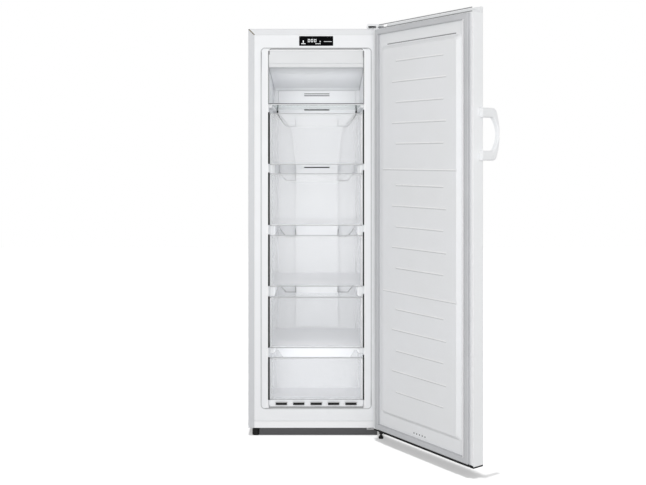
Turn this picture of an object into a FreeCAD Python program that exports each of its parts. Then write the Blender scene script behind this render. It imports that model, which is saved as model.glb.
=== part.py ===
"""Upright freezer with five clear drawers, built as separate pieces in millimetres.

Frame: X to the right seen from the front, Y towards the back, Z up.
Shapes are drawn from the floor under the middle of the cabinet, with the door shut.
The door is then turned about its hinge to the stored open pose, and everything is moved
so that the origin lies on the floor under the middle of the whole freezer.
"""

import FreeCAD, Part
import math
import os

V = FreeCAD.Vector

# ---------------------------------------------------------------- driving dimensions
BODY_WIDTH = 595.0
FRONT_Y = -290.0
BACK_Y = 285.0
BODY_BOTTOM = 33.0
BODY_TOP = 1783.0
SHEET = 1.0
FLANGE_WIDTH = 26.0
TOP_FLANGE = 27.0
SHELL_BEVEL = 2.2

LINER_WALL = 3.0
FRAME_DEPTH = 7.0
FRAME_BOTTOM = 63.0
POCKET_HALF = 240.0
POCKET_LOW = 118.5
POCKET_HIGH = 1697.0
POCKET_DEPTH = 4.0
CAVITY_HALF = 209.0
CAVITY_TOP = 1693.0
CAVITY_FLOOR = 147.0
CAVITY_BACK = 190.0
SILL_FLOOR = 121.5
SILL_BACK = -262.0
STEP_FRONT = -78.0
STEP_TOP = 372.0

NICHE_FRONT = -15.0
NICHE_TOP = 300.0
BASE_SHEET = 1.5
BASE_DECK = 64.5

# each drawer: (bottom of its front, top of its front)
DRAWERS = [(1189.7, 1413.6), (921.0, 1148.9), (652.9, 876.8), (382.0, 605.1), (152.9, 338.3)]
DRAWER_FRONT_Y = -272.0
DRAWER_FRONT_THICKNESS = 4.0
DRAWER_FRONT_HALF = 204.0
DRAWER_RIM = 8.0
TUB_BACK = 140.0
SHORT_TUB_BACK = -90.0
TUB_HALF_TOP = 200.0
TUB_HALF_FLOOR = 196.0
TUB_WALL = 2.5
FLOOR_LIFT = 4.0
SLIDE_GAP = 0.3
LEDGE_REACH = 26.0
LEDGE_HEIGHT = 47.0
LEDGE_FRONT = -258.0

SHELF_Z = 1451.5
GLASS = 4.0
DUCT_Y = 146.0
DUCT_WALL = 3.0
DUCT_HALF_WIDE = 190.0
DUCT_HALF = 105.0
DUCT_TOP = 1544.0
COVER_FRONT_Z = 1614.0
COVER_BACK_Z = 1557.6
FAN_CENTRE = (0.0, 1632.0)

HINGE_X = 282.0
HINGE_REACH = 40.0
HINGE_Y = FRONT_Y - HINGE_REACH
HINGE = (HINGE_X, HINGE_Y)
DOOR_OPEN_DEGREES = 126.0
DOOR_GAP = 12.0
DOOR_THICKNESS = 55.0
DOOR_BOTTOM = 38.0
DOOR_TOP = 1777.0
DOOR_RIM_TOP = 1795.0
CAP = 6.0
PIN_RADIUS = 5.0
PIN_CLEARANCE = 0.05
PLUG_HALF = 237.0
PLUG_LOW = 126.0
PLUG_HIGH = 1695.0
PLUG_HEIGHT = 15.0
PLUG_DRAFT = 16.0
GASKET_INSIDE = 256.0
GASKET_OUTSIDE = 280.0

HANDLE_MIDDLE = 1307.5
HANDLE_HEIGHT = 202.0
HANDLE_WIDTH = 20.0
HANDLE_REACH = 66.0
HANDLE_ARM = 38.0

# from the middle of the cabinet to the middle of the whole, door open
TO_ORIGIN = V(-206.19, 265.14, 0.0)

HALF = BODY_WIDTH / 2
DOOR_INNER_Y = FRONT_Y - DOOR_GAP
DOOR_OUTER_Y = DOOR_INNER_Y - DOOR_THICKNESS

pieces = {}


# ---------------------------------------------------------------- drawing helpers
def block(x0, x1, y0, y1, z0, z1):
    """A rectangular block between two corners."""
    return Part.makeBox(x1 - x0, y1 - y0, z1 - z0, V(x0, y0, z0))


def rod(centre, axis, radius, length):
    """A round bar that starts at centre and runs along axis."""
    return Part.makeCylinder(radius, length, V(*centre), V(*axis))


def on_plane(plane, at, u, v):
    """A point given in a front (XZ), side (YZ) or top (XY) view."""
    if plane == "front":
        return V(u, at, v)
    if plane == "side":
        return V(at, u, v)
    return V(u, v, at)


NORMALS = {"front": V(0, 1, 0), "side": V(1, 0, 0), "top": V(0, 0, 1)}


def outline(plane, at, corners):
    """A closed wire; a corner (u, v, radius) is rounded with a tangent arc."""
    points = [V(c[0], c[1], 0) for c in corners]
    radii = [c[2] if len(c) > 2 else 0 for c in corners]
    count = len(points)
    starts, ends, middles = [], [], []
    for i, here in enumerate(points):
        back = (points[i - 1] - here).normalize()
        ahead = (points[(i + 1) % count] - here).normalize()
        if radii[i] <= 0:
            starts.append(here)
            ends.append(here)
            middles.append(None)
            continue
        half = back.getAngle(ahead) / 2
        run = radii[i] / math.tan(half)
        bisector = (back + ahead).normalize()
        starts.append(here + back * run)
        ends.append(here + ahead * run)
        middles.append(here + bisector * (radii[i] / math.sin(half) - radii[i]))
    edges = []
    for i in range(count):
        a = on_plane(plane, at, starts[i].x, starts[i].y)
        b = on_plane(plane, at, ends[i].x, ends[i].y)
        if middles[i] is not None:
            m = on_plane(plane, at, middles[i].x, middles[i].y)
            edges.append(Part.Arc(a, m, b).toShape())
        following = starts[(i + 1) % count]
        c = on_plane(plane, at, following.x, following.y)
        if b.distanceToPoint(c) > 1e-6:
            edges.append(Part.LineSegment(b, c).toShape())
    return Part.Wire(edges)


def plate(plane, at, thickness, corners):
    """An outline given depth along its view direction."""
    return Part.Face(outline(plane, at, corners)).extrude(NORMALS[plane] * thickness)


def rectangle(u0, u1, v0, v1, radius=0.0):
    """Corners of a rectangle, all rounded alike."""
    return [(u0, v0, radius), (u1, v0, radius), (u1, v1, radius), (u0, v1, radius)]


def ring(plane, at, thickness, outside, inside):
    """A frame: one outline with another cut out of it."""
    return plate(plane, at, thickness, outside).cut(plate(plane, at - 1, thickness + 2, inside))


def edges_where(shape, chosen):
    """The edges whose middle point and direction pass the test."""
    edges = []
    for edge in shape.Edges:
        middle = edge.valueAt((edge.FirstParameter + edge.LastParameter) / 2)
        if chosen(middle, edge.tangentAt(edge.FirstParameter)):
            edges.append(edge)
    return edges


def bevelled(shape, size, chosen):
    return shape.makeChamfer(size, edges_where(shape, chosen))


def tube(points, radius, bend):
    """A round tube whose bends are short mitred lengths."""
    points = [V(*p) for p in points]
    path = [points[0]]
    for i in range(1, len(points) - 1):
        here = points[i]
        back = (points[i - 1] - here).normalize()
        ahead = (points[i + 1] - here).normalize()
        half = back.getAngle(ahead) / 2
        run = bend / math.tan(half)
        path += [here + back * run, here + ahead * run] if bend > 0 else [here]
    path.append(points[-1])
    lengths = []
    for i in range(len(path) - 1):
        a, b = path[i], path[i + 1]
        ahead = (b - a).normalize()
        start = a - ahead * 1.5 * radius if i > 0 else a
        end = b + ahead * 1.5 * radius if i < len(path) - 2 else b
        length = Part.makeCylinder(radius, (end - start).Length, start, ahead)
        if i > 0:
            length = length.cut(beyond(a, (path[i - 1] - a).normalize() - ahead, radius))
        if i < len(path) - 2:
            length = length.cut(beyond(b, (path[i + 2] - b).normalize() + ahead, radius))
        lengths.append(length)
    return lengths[0].fuse(lengths[1:])


def beyond(point, direction, radius):
    """A block on the far side of a mitre plane."""
    size = 4 * radius
    cutter = Part.makeBox(2 * size, 2 * size, size, V(-size, -size, 0))
    cutter.Placement = FreeCAD.Placement(point, FreeCAD.Rotation(V(0, 0, 1), direction))
    return cutter


def joined(shapes):
    """Several overlapping shapes as one solid."""
    whole = shapes[0].fuse(shapes[1:])
    return whole.removeSplitter()


def regular(x, y, radius, sides):
    """Corners of a regular polygon about a point of the view."""
    turns = [2 * math.pi * (n + 0.5) / sides for n in range(sides)]
    return [(x + radius * math.cos(t), y + radius * math.sin(t)) for t in turns]


def both_sides(shape):
    """A shape and its mirror image in the middle plane."""
    return [shape, shape.mirror(V(0, 0, 0), V(1, 0, 0))]


def near(value, target):
    return abs(value - target) < 0.01


# ---------------------------------------------------------------- cabinet sheet work
def folded_body(inset, low, bevel):
    """The cabinet's outside, drawn in by inset, with its front and top folds bevelled."""
    x, y, z = HALF - inset, FRONT_Y + inset, BODY_TOP - inset
    body = block(-x, x, y, BACK_Y - inset, low, z)

    def is_fold(p, along):
        upright = abs(along.z) > 0.9 and near(p.y, y)
        top_front = abs(along.x) > 0.9 and near(p.y, y) and near(p.z, z)
        top_side = abs(along.y) > 0.9 and near(p.z, z)
        return upright or top_front or top_side

    return bevelled(body, bevel, is_fold)


def outer_shell():
    """One sheet folded over both sides and the top, with a mitred front flange."""
    shell = folded_body(0, BODY_BOTTOM, SHELL_BEVEL)
    shell = shell.cut(folded_body(SHEET, BODY_BOTTOM - 10, SHELL_BEVEL - 0.6 * SHEET))
    mouth = HALF - FLANGE_WIDTH
    shell = shell.cut(block(-mouth, mouth, FRONT_Y - 5, FRONT_Y + 2, 0, BODY_TOP - TOP_FLANGE))
    back = HALF - 12
    shell = shell.cut(block(-back, back, BACK_Y - 2, BACK_Y + 5, 0, BODY_TOP - 12))
    mitre = plate("front", FRONT_Y - 1, 2.4, [
        (-HALF + 3.6, BODY_TOP - 4.8), (-HALF + 4.8, BODY_TOP - 3.6),
        (-mouth + 0.9, BODY_TOP - TOP_FLANGE - 0.5), (-mouth - 0.5, BODY_TOP - TOP_FLANGE - 0.9)])
    for gap in both_sides(mitre):
        shell = shell.cut(gap)
    return shell


def back_panel():
    x = HALF - 1.4
    top = BODY_TOP - 1.4
    return plate("front", BACK_Y - 2.2, SHEET, [
        (-x, NICHE_TOP + 2), (x, NICHE_TOP + 2), (x, top, 4), (-x, top, 4)])


# ---------------------------------------------------------------- liner
def cavity_side_outline(grow):
    """The hollow's side view, grown outwards by grow, with the step over the compressor."""
    g = grow
    soft = 9 if grow == 0 else 0
    return [
        (FRONT_Y + FRAME_DEPTH - 1, CAVITY_FLOOR - g), (STEP_FRONT + g, CAVITY_FLOOR - g, soft),
        (STEP_FRONT + g, STEP_TOP - g, soft), (CAVITY_BACK + g, STEP_TOP - g, soft),
        (CAVITY_BACK + g, CAVITY_TOP + g, soft), (FRONT_Y + FRAME_DEPTH - 1, CAVITY_TOP + g)]


def cavity(grow):
    """The food space as a solid, grown by grow on every side but the front."""
    half = CAVITY_HALF + grow
    from_side = plate("side", -half, 2 * half, cavity_side_outline(grow))
    from_front = plate("front", FRONT_Y, 600, rectangle(
        -half, half, CAVITY_FLOOR - grow, CAVITY_TOP + grow, 10 if grow == 0 else 0))
    main = from_side.common(from_front)
    sill = block(-half, half, FRONT_Y + FRAME_DEPTH - 1, SILL_BACK + grow,
                 SILL_FLOOR - grow, CAVITY_FLOOR + 20)
    return main.fuse(sill)


def display_recess(grow):
    return block(-70 - grow, 70 + grow, FRONT_Y - 1, FRONT_Y + 28 + grow, 1712 - grow, 1748 + grow)


def liner_envelope():
    mouth = HALF - FLANGE_WIDTH - 0.3
    frame = plate("front", FRONT_Y, FRAME_DEPTH, rectangle(
        -mouth, mouth, FRAME_BOTTOM, BODY_TOP - TOP_FLANGE - 0.3))
    return frame.fuse(cavity(LINER_WALL))


def ledge(low, high, back, front=LEDGE_FRONT):
    """A drawer ledge on the left wall, bevelled where the drawer rides on."""
    inner = -CAVITY_HALF + LEDGE_REACH
    bar = plate("front", front, back - front, [
        (-CAVITY_HALF - 1, low), (inner - 4, low), (inner, low + 5), (inner, high - 2.5),
        (inner - 2.5, high), (-CAVITY_HALF - 1, high)])
    nose = plate("top", low - 1, high - low + 2, [
        (inner + 1, front - 1), (inner + 1, front + 12), (inner - 11, front - 1)])
    return bar.cut(nose)


def inner_liner():
    """The moulded liner: front frame, walls, drawer ledges and shelf bearers."""
    liner = liner_envelope()
    pocket = plate("front", FRONT_Y - 1, POCKET_DEPTH + 1, rectangle(
        -POCKET_HALF, POCKET_HALF, POCKET_LOW, POCKET_HIGH, 15))
    mouth = plate("front", FRONT_Y - 1, FRAME_DEPTH + 1, rectangle(
        -CAVITY_HALF, CAVITY_HALF, SILL_FLOOR, CAVITY_TOP, 10))
    window = plate("front", FRONT_Y - 1, 2.7, rectangle(-74.7, 74.7, 1708.3, 1751.2, 2.7))
    liner = liner.cut(pocket).cut(mouth).cut(cavity(0)).cut(display_recess(0.2)).cut(window)
    bars = []
    for index, (bottom, top) in enumerate(DRAWERS):
        ride = bottom + FLOOR_LIFT - SLIDE_GAP
        if index < 3:
            bars += both_sides(ledge(bottom - LEDGE_HEIGHT, ride, CAVITY_BACK - 5))
        elif index == 3:
            bars += both_sides(ledge(bottom - 28, ride, CAVITY_BACK - 5))
        else:
            bars += both_sides(ledge(CAVITY_FLOOR - 1, ride, STEP_FRONT - 4))
        lug = block(-CAVITY_HALF - 1, -CAVITY_HALF + 4.5, -104, -90, top - 84, top - 66)
        bars += both_sides(lug)
    bars = [bar.common(cavity(1)) for bar in bars]
    bearer = block(-CAVITY_HALF - 1, -CAVITY_HALF + 13, -268, CAVITY_BACK - 5, SHELF_Z - 13, SHELF_Z)
    bars += both_sides(bearer)
    return joined([liner] + bars)


def side_condenser():
    """Flattened tube in four passes up the inside of the left wall."""
    x = -HALF + SHEET + 0.4
    wide, depth, pitch = 6.0, 3.0, 110.0
    low, high, first, passes = 420.0, 1640.0, -175.0, 4
    strips = []
    for n in range(passes):
        y = first + n * pitch
        strips.append(block(x, x + depth, y - wide / 2, y + wide / 2, low, high))
        if n < passes - 1:
            end = high if n % 2 == 0 else low + wide
            strips.append(block(x, x + depth, y - wide / 2, y + pitch + wide / 2, end - wide, end))
    return joined(strips)


def cabinet_foam():
    foam = folded_body(SHEET + 0.2, BASE_DECK + 0.1, SHELL_BEVEL - 0.6)
    foam = foam.cut(block(-HALF, HALF, BACK_Y - 2.4, BACK_Y, 0, BODY_TOP))
    foam = foam.cut(liner_envelope())
    # the frame sits in front of the foam, so the foam starts behind it
    foam = foam.cut(block(-HALF, HALF, FRONT_Y, FRONT_Y + FRAME_DEPTH, 0, BODY_TOP - TOP_FLANGE))
    foam = foam.cut(block(-HALF, HALF, NICHE_FRONT - BASE_SHEET - 0.1, BACK_Y, 0, NICHE_TOP + 1.6))
    foam = foam.cut(display_recess(0.5))
    return foam.cut(side_condenser())


# ---------------------------------------------------------------- base
def bottom_rail():
    """White channel across the front under the liner frame."""
    inside = HALF - SHEET - 2
    mouth = HALF - FLANGE_WIDTH - 0.3
    y = FRONT_Y + SHEET + 0.2
    channel = plate("side", -inside, 2 * inside, [
        (y, BODY_BOTTOM), (y + 40, BODY_BOTTOM), (y + 40, BODY_BOTTOM + 1.5), (y + 1.5, BODY_BOTTOM + 1.5),
        (y + 1.5, 60.5), (y + 40, 60.5), (y + 40, 62), (y, 62)])
    face = block(-mouth, mouth, FRONT_Y, y + 0.5, BODY_BOTTOM, 62)
    rail = channel.fuse(face)
    foot_hole = rod((LEFT_FOOT[0], LEFT_FOOT[1], 0), (0, 0, 1), FOOT_STEM + PIN_CLEARANCE, 100)
    return rail.cut(foot_hole).removeSplitter()


def base_frame():
    """One bent sheet: deck under the foam, then the front wall and roof of the niche."""
    inside = HALF - SHEET - 0.2
    front = FRONT_Y + 42
    low, high = BASE_DECK - BASE_SHEET, NICHE_TOP
    sheet = plate("side", -inside, 2 * inside, [
        (front, low), (NICHE_FRONT, low, 2), (NICHE_FRONT, high, 3), (BACK_Y - 2.4, high),
        (BACK_Y - 2.4, high + BASE_SHEET), (NICHE_FRONT - BASE_SHEET, high + BASE_SHEET, 4.5),
        (NICHE_FRONT - BASE_SHEET, BASE_DECK), (front, BASE_DECK)])
    lip = block(-inside, inside, front - 1, front + 1.5, 62, low + 1)
    return joined([sheet, lip])


def base_plinth():
    """Dark strip below the rail, notched over the lower hinge."""
    strip = plate("side", -249, 517, [
        (FRONT_Y + 1, 1.5), (FRONT_Y + 4, 1.5), (FRONT_Y + 4, 30), (FRONT_Y + 22, 30),
        (FRONT_Y + 22, BODY_BOTTOM), (FRONT_Y + 1, BODY_BOTTOM)])
    return strip.cut(block(222, 300, FRONT_Y, FRONT_Y + 60, 24, 60))


def compressor_carrier():
    """Cross plate that carries the compressor, with its ends turned up."""
    inside = HALF - SHEET - 0.3
    deck = block(-inside, inside, 66, BACK_Y - 2, 34, 36)
    turned = block(-inside, -inside + 2, 66, BACK_Y - 2, 35, 62)
    lip = block(-inside, inside, BACK_Y - 4, BACK_Y - 2, 35, 50)
    return joined([deck, lip] + both_sides(turned))


COMPRESSOR = (90.0, 165.0)
COMPRESSOR_RADIUS = 82.0
MOUNT_PLACES = [(COMPRESSOR[0] + sx * 85, COMPRESSOR[1] + sy * 60) for sx in (-1, 1) for sy in (-1, 1)]


def compressor():
    """Hermetic can with sloped shoulders on a four-armed foot plate."""
    x, y = COMPRESSOR
    r = COMPRESSOR_RADIUS
    can = plate("top", 60.9, 153.1, regular(x, y, r, 36))
    can = bevelled(can, 15, lambda p, along: near(p.z, 214) or near(p.z, 60.9))
    foot = plate("top", 58, 3, [
        (x - 100, y - 75), (x - 66, y - 75), (x - 50, y - 48), (x + 50, y - 48), (x + 66, y - 75),
        (x + 100, y - 75), (x + 100, y + 75), (x + 66, y + 75), (x + 50, y + 48), (x - 50, y + 48),
        (x - 66, y + 75), (x - 100, y + 75)])
    for mx, my in MOUNT_PLACES:
        foot = foot.cut(plate("top", 50, 20, regular(mx, my, 6.6, 8)))
    return can.fuse(foot).removeSplitter()


def compressor_mounts():
    """Rubber grommets, necked where the foot plate clips in."""
    grommets = []
    for x, y in MOUNT_PLACES:
        levels = ((36, 58, 13), (57.9, 61.1, 6.2), (61, 66, 9))
        grommets.append(joined([plate("top", low, high - low, regular(x, y, radius, 8))
                                for low, high, radius in levels]))
    return Part.makeCompound(grommets)


def compressor_relay():
    x, y = COMPRESSOR
    far = x - COMPRESSOR_RADIUS - 24
    box = plate("front", y - 28, 56, [
        (far, 100), (far + 4, 96), (x - 60, 96), (x - 60, 146), (far + 4, 146), (far, 142)])
    return box.cut(rod((x, y, 50), (0, 0, 1), COMPRESSOR_RADIUS, 200))


def evaporating_tray():
    """Open tray on the can that boils away the melt water."""
    x, y = COMPRESSOR

    def cut_corner(half, corner):
        return [(x - half, y - half + corner), (x - half + corner, y - half), (x + half - corner, y - half),
                (x + half, y - half + corner), (x + half, y + half - corner), (x + half - corner, y + half),
                (x - half + corner, y + half), (x - half, y + half - corner)]

    outside = plate("top", 214, 28, cut_corner(70, 12))
    inside = plate("top", 216.5, 40, cut_corner(67.5, 11))
    lip = ring("top", 239.5, 2.5, cut_corner(76, 14), cut_corner(68, 11.2))
    return joined([outside.cut(inside), lip])


DRIER = (-130.0, 190.0)


def refrigerant_tubes():
    """Discharge line to the drier, the drier itself, capillary and suction line up into the foam."""
    x, y = COMPRESSOR
    dx, dy = DRIER
    start = V(x, y, 0) + V(dx - x, dy - y, 0).normalize() * (COMPRESSOR_RADIUS + 0.4)
    discharge = tube([(start.x, start.y, 160), (dx, dy, 160), (dx, dy, 184)], 3, 14)
    drier = plate("top", 182, 76, regular(dx, dy, 9, 12))
    drier = bevelled(drier, 4, lambda p, along: near(p.z, 182) or near(p.z, 258))
    capillary = plate("top", 257, NICHE_TOP - 257.2, regular(dx, dy, 2, 8))
    right = x + COMPRESSOR_RADIUS + 0.4
    suction = tube([(right, y, 120), (right + 30, y, 120), (right + 30, y, NICHE_TOP - 0.2)], 4, 16)
    return Part.makeCompound([joined([discharge, drier, capillary]), suction])


def power_inlet():
    """Moulded terminal box on the right wall with a bare gland that faces the back."""
    x1 = HALF - SHEET - 0.2
    box = plate("front", 226, 48, [
        (x1 - 42, 74), (x1 - 38, 70), (x1, 70), (x1, 124), (x1 - 38, 124), (x1 - 42, 120)])
    gland = plate("front", 270, 10, regular(x1 - 21, 97, 10, 12))
    hole = plate("front", 262, 30, regular(x1 - 21, 97, 5, 8))
    return box.fuse(gland).cut(hole).removeSplitter()


# ---------------------------------------------------------------- display
def display_glass():
    """Dark window over the digits, with a stub that enters the housing."""
    window = plate("front", FRONT_Y, 1.5, rectangle(-74.5, 74.5, 1708.5, 1751, 2.5))
    stub = block(-67.5, 67.5, FRONT_Y + 1, FRONT_Y + 3.5, 1714.5, 1745.5)
    return window.fuse(stub).removeSplitter()


def display_housing():
    outside = block(-70, 70, FRONT_Y + 1.8, FRONT_Y + 28, 1712, 1748)
    inside = block(-68, 68, FRONT_Y - 1, FRONT_Y + 26, 1714, 1746)
    posts = [block(x - 2.5, x + 2.5, FRONT_Y + 16.1, FRONT_Y + 26.5, z - 2, z + 2)
             for x in (-58, 58) for z in (1719, 1741)]
    return joined([outside.cut(inside)] + posts)


def control_board():
    """Board with a three-digit light module, two chips and a plug socket."""
    board = block(-64, 64, FRONT_Y + 14.4, FRONT_Y + 16, 1716, 1744)
    parts = [board]
    for n in range(3):
        parts.append(block(-38 + n * 9, -30.5 + n * 9, FRONT_Y + 8, FRONT_Y + 15, 1723, 1737))
    parts.append(block(10, 24, FRONT_Y + 12.4, FRONT_Y + 15, 1724, 1734))
    parts.append(block(34, 44, FRONT_Y + 12.4, FRONT_Y + 15, 1725, 1735))
    parts.append(block(-12, 8, FRONT_Y + 15, FRONT_Y + 24, 1726, 1734))
    return joined(parts)


# ---------------------------------------------------------------- cold parts at the top
def opening_prism(inset):
    half = CAVITY_HALF - inset
    return plate("front", FRONT_Y, 600, rectangle(-half, half, CAVITY_FLOOR, CAVITY_TOP - inset, 10))


def top_fascia():
    """Upright panel with a lip below that turns back under it."""
    y = FRONT_Y + 7
    panel = plate("side", -CAVITY_HALF, 2 * CAVITY_HALF, [
        (y, 1692.5), (y, 1633.5), (y + 1.6, 1632.5), (y - 0.6, 1631), (y - 1.5, 1614.5, 3.0),
        (y + 20, 1611), (y + 20, 1613.6), (y + 4, 1616.6, 2), (y + 4, 1692.5)])
    return panel.common(opening_prism(0.6))


COVER_SLOPE = (COVER_FRONT_Z - COVER_BACK_Z) / 390.0


def cover_height(y):
    """Height of the sloped ceiling's underside at depth y."""
    return COVER_FRONT_Z - (y + 262.0) * COVER_SLOPE


def evaporator_cover():
    """Sloped ceiling under the coil, turned down at the back to meet the air duct."""
    sheet = plate("side", -CAVITY_HALF + 1.5, 2 * CAVITY_HALF - 3, [
        (-262, COVER_FRONT_Z), (128, COVER_BACK_Z, 8), (DUCT_Y, DUCT_TOP + 1),
        (DUCT_Y + 3, DUCT_TOP + 3), (130, COVER_BACK_Z + 3, 8), (-262, COVER_FRONT_Z + 3)])
    slot = block(-56, 56, 3, 8, 1540, 1620)
    crease = block(-190, 190, -158, -156, cover_height(-157) - 1, cover_height(-157) + 0.8)
    return sheet.cut(slot).cut(crease)


def duct_outline(inset):
    """Broad shoulders that narrow in two slopes to the straight lower part."""
    wide, narrow = DUCT_HALF_WIDE - inset, DUCT_HALF - inset
    low = STEP_TOP + 20 + inset
    left = [(-wide, DUCT_TOP), (-wide, 1436 + 0.5 * inset), (-150 + inset, 1388), (-128 + inset, 1355),
            (-narrow, 1165), (-narrow, low + 6), (-narrow + 6, low)]
    return left + [(-x, z) for x, z in reversed(left)]


SLOT_ROWS = [(1529.6, 3.6), (1520.4, 3.6), (1471.7, 5.5), (1451.0, 5.5)]
SLOT_ROWS += [(top + 21.5, 5.5) for bottom, top in DRAWERS[1:4]]
SLOT_HALF = 62.0


def air_duct():
    """Raised hollow cover down the back wall that blows through a slot above each drawer."""
    body = plate("front", DUCT_Y, CAVITY_BACK - DUCT_Y - 0.2, duct_outline(0))
    body = bevelled(body, 4, lambda p, along: near(p.y, DUCT_Y) and p.z < DUCT_TOP - 0.1)
    hollow = plate("front", DUCT_Y + DUCT_WALL, 60, duct_outline(DUCT_WALL))
    duct = body.cut(hollow)
    for z, height in SLOT_ROWS:
        duct = duct.cut(block(-SLOT_HALF, SLOT_HALF, DUCT_Y - 2, DUCT_Y + 6, z - height / 2, z + height / 2))
    return duct


def evaporator_coil():
    """Finned block: a flat core that carries plate fins, with header stubs at one end."""
    front, back, low, high = -232.0, 38.0, 1636.0, 1687.0
    parts = [block(-172, 172, front + 8, back - 8, 1650, 1672)]
    for n in range(13):
        x = -156 + n * 26
        parts.append(block(x - 0.6, x + 0.6, front, back, low, high))
    parts += [block(x - 1, x + 1, front - 4, back + 4, low, high + 4) for x in (-173, 173)]
    parts += [block(-182, -173, y - 4, y + 4, 1657, 1665) for y in (-190, -135, -80, -25)]
    return joined(parts)


def defrost_heater():
    return tube([(-182, -205, 1624.5), (165, -205, 1624.5), (165, -165, 1624.5), (-182, -165, 1624.5)],
                3.2, 0)


def drip_trough():
    """Bright tray that follows the ceiling's slope under the coil."""
    front, back = -245.0, 52.0
    lift = 6.0
    return plate("side", -192, 384, [
        (front, cover_height(front) + lift + 9), (front, cover_height(front) + lift),
        (back, cover_height(back) + lift), (back, cover_height(back) + lift + 1),
        (front + 1, cover_height(front) + lift + 1.2), (front + 1, cover_height(front) + lift + 9)])


def fan_shroud():
    """Plate with a round mouth and a strap behind it that holds the motor."""
    x, z = FAN_CENTRE
    sheet = block(-92, 92, 84, 87, 1575, 1692).cut(plate("front", 80, 20, regular(x, z, 54, 32)))
    strap = plate("top", z - 8, 16, [
        (-64, 86.5), (-60, 86.5), (-60, 108), (60, 108), (60, 86.5), (64, 86.5), (64, 111), (-64, 111)])
    return joined([sheet, strap]).cut(plate("front", 100, 20, regular(x, z, 7, 8)))


def fan_motor():
    """Laminated core behind the strap with its bearing nose and shaft."""
    x, z = FAN_CENTRE
    core = plate("front", 111, 24, [
        (x - 27, z - 22), (x - 22, z - 27), (x + 22, z - 27), (x + 27, z - 22), (x + 27, z + 22),
        (x + 22, z + 27), (x - 22, z + 27), (x - 27, z + 22)])
    nose = plate("front", 106, 6, regular(x, z, 6, 8))
    shaft = rod((x, 76, z), (0, 1, 0), 2, 36)
    return joined([core, nose, shaft])


def fan_rotor():
    """Hub with five pitched blades, bored for the motor shaft."""
    x, z = FAN_CENTRE
    hub = plate("front", 78, 18, regular(x, z, 15, 20))
    blades = []
    for n in range(5):
        blade = plate("front", -0.8, 1.6, [
            (12, -8), (30, -13), (46, -15), (49, 0), (46, 13), (30, 12), (12, 8)])
        blade.rotate(V(0, 0, 0), V(1, 0, 0), 32)
        blade.rotate(V(0, 0, 0), V(0, 1, 0), 72 * n)
        blade.translate(V(x, 87, z))
        blades.append(blade)
    bore = rod((x, 70, z), (0, 1, 0), 2 + PIN_CLEARANCE, 40)
    return joined([hub] + blades).cut(bore)


# ---------------------------------------------------------------- shelf and grille
def glass_shelf():
    pane = block(-CAVITY_HALF + 3, CAVITY_HALF - 3, -276, DUCT_Y - 2, SHELF_Z, SHELF_Z + GLASS)
    return pane


def shelf_trim():
    """Slim clip along the front edge of the pane."""
    y = -282.0
    return plate("side", -CAVITY_HALF + 1, 2 * CAVITY_HALF - 2, [
        (y, SHELF_Z - 1.5, 1), (-266, SHELF_Z - 1.5), (-266, SHELF_Z - 0.1), (-276.1, SHELF_Z - 0.1),
        (-276.1, SHELF_Z + GLASS + 0.1), (-270, SHELF_Z + GLASS + 0.1), (-270, SHELF_Z + GLASS + 1.2),
        (y, SHELF_Z + GLASS + 1.2, 1)]).cut(
        block(-CAVITY_HALF, -CAVITY_HALF + 14, -269, -260, SHELF_Z - 5, SHELF_Z)).cut(
        block(CAVITY_HALF - 14, CAVITY_HALF, -269, -260, SHELF_Z - 5, SHELF_Z))


def floor_grille():
    """Slotted sill under the bottom drawer, its foot sloping forward."""
    half = CAVITY_HALF - 2
    sill = plate("side", -half, 2 * half, [
        (-285, 122.5), (-265, 122.5), (-265, 151), (-277, 151.5, 2), (-278, 134, 3), (-285, 126)])
    sill = sill.common(plate("front", -290, 40, [
        (-half, 131), (-half + 8, 122), (half - 8, 122), (half, 131), (half, 160), (-half, 160)]))
    for n in range(5):
        x = (n - 2) * 75.5
        sill = sill.cut(plate("front", -290, 40, [
            (x - 21.5, 134.5), (x + 21.5, 134.5), (x + 25.5, 143.5), (x - 25.5, 143.5)]))
    return sill


# ---------------------------------------------------------------- drawers
def drawer_tub(bottom, top, back, under_shelf):
    """Clear tub, drafted, open at the front, with a trapezoid notch in its rear wall."""
    low = bottom + FLOOR_LIFT
    high = min(top - 8, under_shelf - 3)
    front = DRAWER_FRONT_Y + DRAWER_FRONT_THICKNESS

    def ring_at(z, half, rear, inset):
        x, y = half - inset, rear - inset
        corner = 9 - 0.4 * inset
        return outline("top", z, [
            (-x, front), (x, front), (x, y - corner), (x - corner, y), (-x + corner, y), (-x, y - corner)])

    outside = Part.makeLoft([ring_at(low, TUB_HALF_FLOOR, back - 5, 0),
                             ring_at(high, TUB_HALF_TOP, back, 0)], True, True)
    inside = Part.makeLoft([ring_at(low + TUB_WALL, TUB_HALF_FLOOR, back - 5, TUB_WALL),
                            ring_at(high + 0.5, TUB_HALF_TOP, back, TUB_WALL)], True, True)
    tub = outside.cut(inside)
    notch = plate("front", back - 40, 80, [
        (-151, high - 38), (151, high - 38), (176, high + 2), (-176, high + 2)])
    return tub.cut(notch)


def drawer_front(bottom, top):
    """Clear panel with a thicker rim and a rolled grip along its top."""
    half = DRAWER_FRONT_HALF
    y = DRAWER_FRONT_Y
    panel = plate("front", y, DRAWER_FRONT_THICKNESS, rectangle(-half, half, bottom, top))
    rim = ring("front", y - 2.2, 3, rectangle(-half, half, bottom, top),
               rectangle(-half + DRAWER_RIM, half - DRAWER_RIM, bottom + 5, top - 9))
    grip = plate("side", -half + 12, 2 * half - 24, [
        (y - 2.2, top - 9), (y + 1, top - 9), (y + 1, top - 3), (y + 8, top - 3), (y + 8, top),
        (y - 2.2, top)])
    return joined([panel, rim, grip])


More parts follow.
